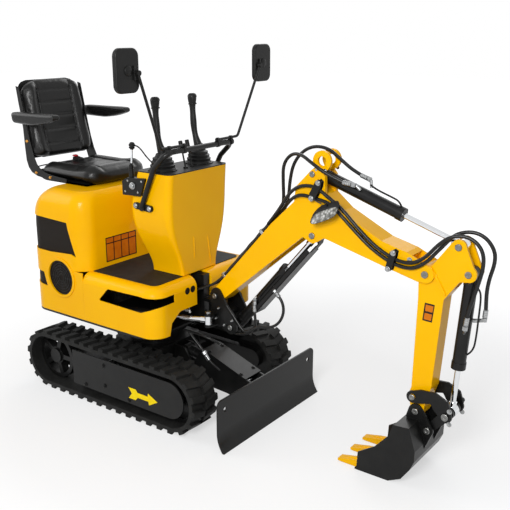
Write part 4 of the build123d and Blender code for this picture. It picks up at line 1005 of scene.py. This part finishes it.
piece("belt_button", button, red_button(), "upper", 3.0)
BELT_LEVEL = 1.350
BELT_ROUTES = [
    [(-640, 20, 1362), (-650, 70, 1362), (-690, 130, 1352), (-726, 190, 1340), (-742, 236, 1330)],
    [(-640, -24, 1362), (-652, -80, 1362), (-700, -140, 1350), (-730, -196, 1340), (-742, -238, 1330)],
]
for number, route in enumerate(BELT_ROUTES):
    web = hose(f"belt_web_{number}", route, 12, PLASTIC)
    for vertex in web.data.vertices:
        vertex.co.z = BELT_LEVEL + (vertex.co.z - BELT_LEVEL) * 0.6
    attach(web, "upper")
print("belt lies on the cushion")

# %% [markdown]
# ## Bolt heads
# Bolts repeat all over the machine, always the same forged head on a washer. Geometry Nodes place
# one head on every point of a small point mesh, turned to the direction stored with the point. The
# sizes are named inputs of the tree, so that one tree serves every body, and the result is made
# real and becomes a plain mesh.

# %% Build the tree that sets bolt heads on points


def bolt_tree():
    """Geometry Nodes: a six-sided head on a washer at every point, along the point's own direction."""
    tree = bpy.data.node_groups.new("bolt_heads", "GeometryNodeTree")
    tree.interface.new_socket("Geometry", in_out="INPUT", socket_type="NodeSocketGeometry")
    tree.interface.new_socket("Head radius", in_out="INPUT", socket_type="NodeSocketFloat")
    tree.interface.new_socket("Head height", in_out="INPUT", socket_type="NodeSocketFloat")
    tree.interface.new_socket("Finish", in_out="INPUT", socket_type="NodeSocketMaterial")
    tree.interface.new_socket("Geometry", in_out="OUTPUT", socket_type="NodeSocketGeometry")
    given = add(tree, "NodeGroupInput").outputs
    head = add(tree, "GeometryNodeMeshCylinder", {"Vertices": 6, "Radius": given["Head radius"],
                                                  "Depth": given["Head height"]}, fill_type="NGON")
    lift = add(tree, "ShaderNodeMath", {0: given["Head height"], 1: 0.5}, operation="MULTIPLY")
    upward = add(tree, "ShaderNodeCombineXYZ", {"Z": lift.outputs[0]})
    raised = add(tree, "GeometryNodeTransform", {"Geometry": head.outputs["Mesh"],
                                                 "Translation": upward.outputs[0]})
    wide = add(tree, "ShaderNodeMath", {0: given["Head radius"], 1: 1.55}, operation="MULTIPLY")
    thin = add(tree, "ShaderNodeMath", {0: given["Head height"], 1: 0.3}, operation="MULTIPLY")
    washer = add(tree, "GeometryNodeMeshCylinder", {"Vertices": 18, "Radius": wide.outputs[0],
                                                    "Depth": thin.outputs[0]}, fill_type="NGON")
    both = add(tree, "GeometryNodeJoinGeometry")
    tree.links.new(raised.outputs[0], both.inputs[0])
    tree.links.new(washer.outputs["Mesh"], both.inputs[0])
    lean = add(tree, "GeometryNodeInputNamedAttribute", {"Name": "lean"}, data_type="FLOAT_VECTOR")
    turn = add(tree, "FunctionNodeAlignRotationToVector", {"Vector": lean.outputs["Attribute"]}, axis="Z")
    size = add(tree, "GeometryNodeInputNamedAttribute", {"Name": "share"}, data_type="FLOAT")
    heads = add(tree, "GeometryNodeInstanceOnPoints", {
        "Points": given["Geometry"], "Instance": both.outputs[0], "Rotation": turn.outputs["Rotation"],
        "Scale": size.outputs["Attribute"]})
    real = add(tree, "GeometryNodeRealizeInstances", {"Geometry": heads.outputs["Instances"]})
    coated = add(tree, "GeometryNodeSetMaterial", {"Geometry": real.outputs["Geometry"],
                                                   "Material": given["Finish"]})
    result = add(tree, "NodeGroupOutput")
    tree.links.new(coated.outputs["Geometry"], result.inputs[0])
    return tree


BOLT_TREE = bolt_tree()
print(len(BOLT_TREE.nodes), "nodes set the bolts")

# %% Set a family of bolts on a body


def bolts_on(name, body, spots, finish, radius=8.0, height=7.0):
    """Bolt heads at spots of (x, y, z, direction, share of full size), made a plain mesh on a body."""
    mesh = bpy.data.meshes.new(name)
    mesh.from_pydata([place(x, y, z) for x, y, z, _, _ in spots], [], [])
    mesh.attributes.new("lean", "FLOAT_VECTOR", "POINT")
    mesh.attributes.new("share", "FLOAT", "POINT")
    for k, (_, _, _, direction, size) in enumerate(spots):
        mesh.attributes["lean"].data[k].vector = direction
        mesh.attributes["share"].data[k].value = size
    made = set_down(name, mesh)
    nodes = made.modifiers.new("heads", "NODES")
    nodes.node_group = BOLT_TREE
    values = {"Head radius": radius * MM, "Head height": height * MM, "Finish": finish}
    for socket in BOLT_TREE.interface.items_tree:
        if socket.in_out == "INPUT" and socket.name in values:
            nodes[socket.identifier] = values[socket.name]
    bpy.context.view_layer.update()
    solid = bpy.data.meshes.new_from_object(made.evaluated_get(bpy.context.evaluated_depsgraph_get()))
    made.modifiers.clear()
    made.data = solid
    solid.set_sharp_from_angle(angle=radians(30))
    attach(made, body)
    print(name, len(spots), "bolts")


NEAR, FAR, UP = (0, -1, 0), (0, 1, 0), (0, 0, 1)
BOTH_SIDES = ((-1, NEAR), (1, FAR))


def both_sides(spots, half_width, share):
    """Bolts at side-view spots on both sides of the machine, each facing outwards."""
    return [(x, side * half_width, z, direction, share) for x, z in spots for side, direction in BOTH_SIDES]


COVER_SLOPE, COVER_NORMAL = 0.3539, (0.334, 0, 0.943)
bolts_on("guard_bolts", "undercarriage",
         both_sides([(-10, 270), (-172, 107), (-6, 143), (191, 107)], 459, 1.2), BLACK)
bolts_on("cover_bolts", "blade", [(x, y, 357 - (x - 434) * COVER_SLOPE + 1, COVER_NORMAL, 1.1)
                                  for x in (470, 700) for y in (-58, 58)], BLACK)
bolts_on("foot_bolts", "upper", both_sides([(127, 1211), (230, 1205)], 274, 1.1)
         + [(x, y, 657, UP, 0.9) for x in (352, 388) for y in (-13, 13)], ZINC)
bolts_on("boom_bolts", "boom", both_sides([(1700, 1120)], 63.5, 1.1)
         + both_sides([(1224, 1492), (1176, 1492)], 61.5, 0.8), ZINC)
bolts_on("link_bolts", "guide_links", both_sides([(1955, 418), (1958, 352)], 81, 1.0), ZINC)

# %% [markdown]
# ## Pin heads and grease nipples
# Each pivot ends in the ground face of its pin: a bright disc with a chamfer and a centre hole. On
# the real machine these pale discs mark every joint of the arm, so each pin gets a turned head on
# both sides, and a nipple beside those that are greased.

# %% Turn the pin heads
# Each pin has its X and Z, how far it reaches to each side, and its radius.
PIN_HEADS = {
    "swing_post": [(531, 706, 82, 15), (640, 540, 82, 15)],
    "boom": [(1155, 1469, 67, 15), (1781, 1064, 67, 17), (1160, 1154, 67, 16)],
    "stick": [(1929, 1216, 52, 16), (1984, 1096, 52, 16), (1762, 440, 84, 15), (1776, 361, 68, 16)],
    "guide_links": [(1935, 384, 84, 18)],
    "bucket": [(1843, 277, 69, 17)],
    "blade": [(330, 170, 74, 18)],
}
for body, pins in PIN_HEADS.items():
    heads = bmesh.new()
    for x, z, reach, radius in pins:
        for s in (-1, 1):
            turned(heads, (x, s * reach, z), (x, s * (reach + 8), z),
                   [(-1, radius), (5, radius), (6.5, radius - 2), (6.5, radius * 0.42),
                    (4.5, radius * 0.3)], 32)
    piece(f"pin_heads_{body}", heads, STEEL, body)
nipples = bmesh.new()
for x, y, z in [(541, -80, 576), (600, -80, 548), (655, -80, 585), (560, -80, 640)]:
    turned(nipples, (x, y, z), (x, y - 16, z), [(0, 7), (5, 7), (5.2, 4), (11, 4), (12, 5), (15, 3)], 12)
piece("grease_nipples", nipples, ZINC, "swing_post")
print(sum(len(p) for p in PIN_HEADS.values()), "pins")

# %% Work lamp


def clear_lens():
    """Clear polycarbonate over small reflectors: pale spots painted into its colour are a painted reflection
    of the reflectors' glitter behind a smooth face.
    """
    material, tree, shader = new_finish("clear_lens", Roughness=0.12, IOR=1.58)
    spot = add(tree, "ShaderNodeTexCoord").outputs["Object"]
    cells = add(tree, "ShaderNodeTexVoronoi", {"Vector": spot, "Scale": 60.0})
    # The pale spots round the cells' centres are painted reflection: the reflectors' glitter, put into the
    # lens's colour.
    paint(tree, shader, cells.outputs["Distance"], [(0.1, "C9C9C4"), (0.6, "55554F")])
    bump = add(tree, "ShaderNodeBump", {"Height": cells.outputs["Distance"], "Strength": 0.4,
                                        "Distance": 0.003})
    tree.links.new(bump.outputs["Normal"], shader.inputs["Normal"])
    return material


LAMP_X, LAMP_Y, LAMP_Z, LAMP_SLOPE, LAMP_FACE = 1262, -105, 1292, radians(24), (0.5, 0.86)


def lamp_ring(shape, half_long, half_short, out, drop):
    """A ring of points on an oval outline of the lamp, out from the boom and down its tilted face."""
    ring = []
    for k in range(32):
        angle = 2 * pi * k / 32
        reach = squared_circle(angle, 3.2)
        a, b = half_long * reach * cos(angle), half_short * reach * sin(angle)
        ring.append(shape.verts.new(place(LAMP_X + a * cos(LAMP_SLOPE), LAMP_Y - out + b * LAMP_FACE[0],
                                          LAMP_Z + a * sin(LAMP_SLOPE) + b * LAMP_FACE[1] - drop)))
    return ring


case = bmesh.new()
skin(case, [lamp_ring(case, *size) for size in ((44, 16, -14, -30), (70, 28, -8, -24), (82, 34, 4, -10),
                                                (84, 35, 16, 6), (80, 31, 17, 7))])
plate(case, [(1228, 1306), (1262, 1318), (1262, 1336), (1228, 1326)], -100, -62.5)
case_piece = piece("work_lamp_case", case, PLASTIC, "boom", 1.0)
lens = bmesh.new()
skin(lens, [lamp_ring(lens, *size) for size in ((78, 29.5, 15, 5), (78, 29.5, 18.5, 8.5),
                                                (70, 25, 20.5, 10.5))])
lens_piece = piece("work_lamp_lens", lens, clear_lens(), "boom")
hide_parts("work_lamp")
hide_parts("work_lamp")
LAMP_CABLE = [(1222, -84, 1332), (1190, -92, 1342), (1174, -88, 1366), (1182, -80, 1392)]
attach(hose("lamp_cable", LAMP_CABLE, 7), "boom")
print("lamp with its lens")

# %% King pin and the swing cylinder's pin
king = bmesh.new()
turned(king, (470, 0, 662), (470, 0, 680), [(0, 30), (7, 30), (8, 28), (8.2, 17), (14, 17), (16, 14)], 32)
piece("king_pin_cap", king, BLACK, "upper")
swing_pin = bmesh.new()
turned(swing_pin, (520, -128, 532), (520, -128, 628),
       [(0, 9.5), (84, 9.5), (84.2, 17), (92, 17), (94, 14)])
piece("swing_pin", swing_pin, ZINC, "swing_post")
fittings = bmesh.new()
hose_end(fittings, (356, -186, 624), (412, -166, 624))
turned(fittings, (412, -166, 624), (416, -165, 606), [(0, 9), (18, 9)])
piece("swing_fittings", fittings, ZINC, "swing_barrel")
SWING_FEED = [(360, -184, 624), (330, -196, 624), (280, -216, 612), (220, -250, 586), (150, -270, 560)]
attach(hose("swing_feed", SWING_FEED, 14), "swing_barrel")
print("swing pins and feed")

# %% [markdown]
# ## Levers, boots and mirrors
# The switch box carries a chromed shaft with a ribbed knob, and a thin cable runs from it into the
# console. The mirrors' glass faces the operator, so it is only seen from behind the machine.

# %% Throttle lever and its cable
lever = bmesh.new()
turned(lever, (84, -251, 1408), (96, -251, 1532), [(0, 6), (124, 6)])
piece("throttle_shaft", lever, CHROME, "upper")
knob = bmesh.new()
turned(knob, (94, -251, 1520), (99, -251, 1566),
       [(0, 9), (6, 13), (8, 17), (12, 17), (14, 14), (17, 14), (19, 18), (30, 18), (32, 14), (36, 14),
        (40, 9)])
turned(knob, (82, -251, 1406), (86, -251, 1446), [(0, 13), (26, 13), (30, 9), (38, 9)])
piece("throttle_knob", knob, PLASTIC, "upper")
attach(hose("throttle_cable", [(96, -251, 1540), (122, -248, 1546), (150, -240, 1528), (176, -226, 1486),
                                (204, -204, 1446), (236, -176, 1420), (246, -150, 1407)], 8), "upper")
box_trim = bmesh.new()
for x, z in [(52, 1284), (150, 1288), (180, 1352), (74, 1346)]:
    turned(box_trim, (x, -273, z), (x, -278, z), [(0, 6), (3, 6), (4, 4)], 12)
turned(box_trim, (112, -273, 1322), (112, -292, 1322), [(0, 20), (6, 20), (7, 15), (15, 15), (17, 12)], 24)
piece("box_screws", box_trim, ZINC, "upper")
print("lever, cable and box")

# %% Rings and heads of the control sticks
COLLAR = [(0, 26), (8, 26), (9, 24), (14, 24), (15, 26), (22, 26), (24, 22)]
CAP = [(0, 27), (10, 26), (18, 21), (22, 14)]
RIB = [(0, 23), (2, 25), (6, 25), (8, 23)]
for number, side in enumerate((-1, 1)):
    grip = bmesh.new()
    turned(grip, (232, side * 155, 1496), (228, side * 155, 1530), COLLAR)
    turned(grip, (191, side * 155, 1782), (190, side * 155, 1806), CAP)
    turned(grip, (193, side * 155, 1740), (192, side * 155, 1752), RIB)
    piece(f"grip_rings_{number}", grip, PLASTIC, "upper")
base_rings = bmesh.new()
for side in (-1, 1):
    turned(base_rings, (232, side * 155, 1406), (232, side * 155, 1416), [(0, 82), (5, 82), (7, 79)], 48)
piece("boot_flanges", base_rings, BLACK, "upper")
print("grips and flanges")

# %% Mirror glass


def mirror_silver():
    """Silvered glass: an almost perfect mirror behind a hard clear face."""
    material, tree, shader = new_finish("mirror_silver", Metallic=1.0, Roughness=0.03)
    paint(tree, shader, wear(tree, 15.0), [(0.3, "DDE2E4"), (0.7, "E6EAEB")])
    return material


GLASS = mirror_silver()
print(GLASS.name)

# %% Set the glass in the mirrors
MIRROR_Y, MIRROR_Z, PANE_HALF_WIDE, PANE_HALF_TALL, PANE_CORNER = 560, 1965, 38, 68, 32
QUARTERS = ((1, 1, 0), (-1, 1, 90), (-1, -1, 180), (1, -1, 270))
panes = bmesh.new()
for side in (-1, 1):
    rim = []
    for right, up, start in QUARTERS:
        for k in range(7):
            angle = radians(start + 15 * k)
            rim.append((side * MIRROR_Y + right * PANE_HALF_WIDE + PANE_CORNER * cos(angle),
                        MIRROR_Z + up * PANE_HALF_TALL + PANE_CORNER * sin(angle)))
    panel(panes, rim, 372.6, 370.8)
piece("mirror_panes", panes, GLASS, "upper")
hubs = bmesh.new()
for side in (-1, 1):
    turned(hubs, (404, side * MIRROR_Y, MIRROR_Z), (414, side * MIRROR_Y, MIRROR_Z),
           [(-2, 26), (4, 24), (8, 16)])
    plate(hubs, [(400, 1990), (412, 1988), (412, 1918), (400, 1920)], side * 520 - 6, side * 520 + 6)
    for y in (144, 264):
        turned(hubs, (384, side * y - 8, 1553), (384, side * y + 8, 1553), [(0, 13), (16, 13)], 20)
        turned(hubs, (384, side * y - 10, 1530), (384, side * y + 10, 1530), [(0, 19), (20, 19)], 28)
piece("mirror_brackets", hubs, PLASTIC, "upper", 0.8)
print("mirrors have glass")

# %% [markdown]
# ## Marks, labels and small trim
# A yellow arrow on the track's guard shows which way is forward. The machine's other labels are
# plain pieces of film, each in its own colour. Film is only a fifth of a millimetre thick, and it
# is drawn a little thicker so that its edge catches light.

# %% Film of the labels


def vinyl_film(name, low, high):
    """Self-adhesive vinyl film: smooth, semi-gloss, with an almost even colour."""
    material, tree, shader = new_finish(name, Roughness=0.4, IOR=1.5)
    shader.inputs["Specular IOR Level"].default_value = 0.2
    paint(tree, shader, wear(tree, 25.0), [(0.3, low), (0.7, high)])
    return material


YELLOW_FILM = vinyl_film("yellow_film", "F8D200", "FFE10A")
DARK_FILM = vinyl_film("dark_film", "141414", "1D1B1A")
ORANGE_FILM = vinyl_film("orange_film", "C8690C", "D87A10")
ARROW = [(193, 193), (250, 193), (264, 176), (343, 176), (347, 196), (417, 161), (352, 125), (347, 146),
         (264, 146), (247, 126), (194, 126), (219, 160)]
marks = bmesh.new()
plate(marks, ARROW, -459.2, -458.2)
plate(marks, ARROW[::-1], 458.2, 459.2)
piece("forward_arrows", marks, YELLOW_FILM, "undercarriage")
print("arrows on both guards")

# %% Plain labels
LABEL_LEFT, LABEL_RIGHT, LABEL_LOW, LABEL_HIGH, LABEL_LINE = -268, -24, 836, 978, 3
LABEL_FACE = [(LABEL_LEFT, LABEL_LOW), (LABEL_RIGHT, LABEL_LOW), (LABEL_RIGHT, LABEL_HIGH),
              (LABEL_LEFT, LABEL_HIGH)]
labels = bmesh.new()
panel(labels, LABEL_FACE, -134.6, -133.8)
piece("hood_label", labels, ORANGE_FILM, "upper")
frames = bmesh.new()
for y in (LABEL_LEFT, -207, -146, -85, LABEL_RIGHT):
    panel(frames, [(y - LABEL_LINE, LABEL_LOW), (y + LABEL_LINE, LABEL_LOW), (y + LABEL_LINE, LABEL_HIGH),
                   (y - LABEL_LINE, LABEL_HIGH)], -133.9, -133.2)
for z in (LABEL_LOW, 944, LABEL_HIGH):
    panel(frames, [(LABEL_LEFT - LABEL_LINE, z - LABEL_LINE), (LABEL_RIGHT + LABEL_LINE, z - LABEL_LINE),
                   (LABEL_RIGHT + LABEL_LINE, z + LABEL_LINE), (LABEL_LEFT - LABEL_LINE, z + LABEL_LINE)],
          -133.9, -133.2)
piece("hood_label_lines", frames, DARK_FILM, "upper")
stick_label = bmesh.new()
plate(stick_label, [(1783, 922), (1833, 920), (1824, 830), (1775, 832)], -49.0, -48.2)
piece("stick_label", stick_label, DARK_FILM, "stick")
inset = bmesh.new()
plate(inset, [(1789, 914), (1828, 912), (1824, 880), (1787, 882)], -49.8, -48.9)
plate(inset, [(1786, 872), (1823, 870), (1819, 838), (1782, 840)], -49.8, -48.9)
piece("stick_label_fields", inset, ORANGE_FILM, "stick")
bar = bmesh.new()
plate(bar, [(1808, 1078), (1820, 1086), (1886, 982), (1874, 974)], -56, -47.5)
piece("stick_stiffener", bar, YELLOW, "stick", 2.5)
pill = bmesh.new()
for y in (-186, -140):
    turned(pill, (418.6, y, 742), (420, y, 742), [(0, 20), (1, 20), (1.2, 19)], 28)
piece("front_label", pill, DARK_FILM, "upper")
print("labels are plain film")

# %% Ridges low on the console's front
ridges = bmesh.new()
for outline in ([(-54, 1018), (-44, 1018), (-38, 900), (-50, 892)],
                [(70, 998), (80, 998), (106, 838), (94, 832)]):
    panel(ridges, outline, 357.0, 361.0)
piece("console_ridges", ridges, YELLOW, "upper", 1.8)
print("two ridges")

# %% Rings and spokes of the fan's grille
FAN_X, FAN_Z, RING_SIDES, SPOKES = -338, 746, 40, 8


def round_fan(radius):
    """Side-view points in a circle round the fan's middle."""
    return [(FAN_X + radius * cos(2 * pi * k / RING_SIDES), FAN_Z + radius * sin(2 * pi * k / RING_SIDES))
            for k in range(RING_SIDES)]


fan = bmesh.new()
for radius in (24, 40, 56, 72, 88, 102):
    outer, inner = round_fan(radius), round_fan(radius - 4)
    for k in range(RING_SIDES):
        n = (k + 1) % RING_SIDES
        plate(fan, [outer[k], outer[n], inner[n], inner[k]], -446, -442.5)
for k in range(SPOKES):
    c, s = cos(2 * pi * k / SPOKES), sin(2 * pi * k / SPOKES)
    plate(fan, [(FAN_X + reach * c - wide * s, FAN_Z + reach * s + wide * c)
                for reach, wide in ((20, 2), (104, 2), (104, -2), (20, -2))], -445, -443)
piece("fan_grille", fan, BLACK, "upper")
print("fan grille")

# %% Ridges of the teeth
RIDGE = [(1420, 20), (1488, 40), (1534, 46), (1562, 12), (1530, 34), (1490, 30), (1424, 14)]
teeth = bmesh.new()
for y in (-132, 0, 132):
    plate(teeth, RIDGE, y - 5, y + 5)
piece("tooth_ridges", teeth, YELLOW, "bucket", 1.0)
print("teeth")

# %% [markdown]
# ## Camera, light and floor
# The machine was photographed in a white studio, from its right front, a little above head
# height. A 55 mm lens on a full-frame sensor at that place gives the same perspective. Three large
# soft lamps stand in for the studio's, and a small one draws glints on paint and chrome. The floor
# glows where the camera sees it, and more so further out, so that it goes to plain white and still
# keeps the soft shadow round the tracks.

# %% Set the camera
camera = bpy.data.objects.new("camera", bpy.data.cameras.new("camera"))
scene.collection.objects.link(camera)
LOOK_DOWN, LOOK_ROUND = 16.179, 36.284
camera.location = (2.6529, -3.3496, 2.1730)
camera.rotation_euler = (radians(90 - LOOK_DOWN), 0, radians(LOOK_ROUND))
camera.data.lens = 55.66
camera.data.sensor_width = 36
scene.camera = camera
scene.view_settings.view_transform = "Standard"
print("camera", tuple(round(v, 3) for v in camera.location))

# %% Set the lamps


def lamp(name, spot, target, size, watts):
    """A square lamp that looks at a target. The larger it is, the softer its shadows are."""
    data = bpy.data.lights.new(name, "AREA")
    data.size = size
    data.energy = watts
    made = bpy.data.objects.new(name, data)
    scene.collection.objects.link(made)
    made.location = spot
    made.rotation_euler = (Vector(target) - Vector(spot)).to_track_quat("-Z", "Y").to_euler()


MACHINE = (0, 0, 0.9)
lamp("key_lamp", (2.0, -4.6, 3.4), MACHINE, 1.6, 215)
lamp("side_lamp", (-4.6, -2.2, 3.2), MACHINE, 2.4, 55)
lamp("back_lamp", (-1.5, 4.4, 4.0), MACHINE, 3.0, 60)
lamp("glint_lamp", (3.4, -4.4, 1.9), MACHINE, 0.5, 12)

# %% Light the room evenly and show it white


def white_where_seen(tree):
    """Full where a ray of the camera, of a gloss or through glass meets the surface."""
    path = add(tree, "ShaderNodeLightPath")
    first = add(tree, "ShaderNodeMath", {0: path.outputs["Is Camera Ray"], 1: path.outputs["Is Glossy Ray"]},
                operation="MAXIMUM")
    return add(tree, "ShaderNodeMath", {0: first.outputs["Value"], 1: path.outputs["Is Transmission Ray"]},
               operation="MAXIMUM").outputs["Value"]


world = bpy.data.worlds.new("studio")
world.use_nodes = True
scene.world = world
sky = world.node_tree
sky.nodes["Background"].inputs["Color"].default_value = linear("F2F4F8")
sky.nodes["Background"].inputs["Strength"].default_value = 0.4
plain = add(sky, "ShaderNodeBackground", {"Color": (1, 1, 1, 1), "Strength": 1.0})
shown = add(sky, "ShaderNodeMixShader", {0: white_where_seen(sky), 1: sky.nodes["Background"].outputs[0],
                                         2: plain.outputs[0]})
sky.links.new(shown.outputs[0], sky.nodes["World Output"].inputs["Surface"])

# %% Lay the floor


def studio_floor():
    """Studio paper. Its own glow grows away from the machine, where the lamps are weak, up to plain white."""
    material, tree, shader = new_finish("studio_paper", Roughness=0.9)
    shader.inputs["Base Color"].default_value = linear("AEAEAE")
    shader.inputs["Specular IOR Level"].default_value = 0.0
    spot = add(tree, "ShaderNodeTexCoord").outputs["Object"]
    away = add(tree, "ShaderNodeVectorMath", {0: spot}, operation="LENGTH")
    lift = add(tree, "ShaderNodeMapRange", {"Value": away.outputs["Value"], "From Min": 1.2, "From Max": 4.5,
                                            "To Min": 0.56, "To Max": 0.92})
    part = add(tree, "ShaderNodeMath", {0: white_where_seen(tree), 1: lift.outputs["Result"]},
               operation="MULTIPLY")
    glow = add(tree, "ShaderNodeEmission", {"Color": (1, 1, 1, 1), "Strength": part.outputs["Value"]})
    both = add(tree, "ShaderNodeAddShader", {0: shader.outputs[0], 1: glow.outputs[0]})
    tree.links.new(both.outputs[0], tree.nodes["Material Output"].inputs["Surface"])
    return material


bpy.ops.mesh.primitive_grid_add(x_subdivisions=2, y_subdivisions=2, size=60)
floor = bpy.context.object
floor.name = "studio_floor"
floor.data.materials.append(studio_floor())
print("floor laid")
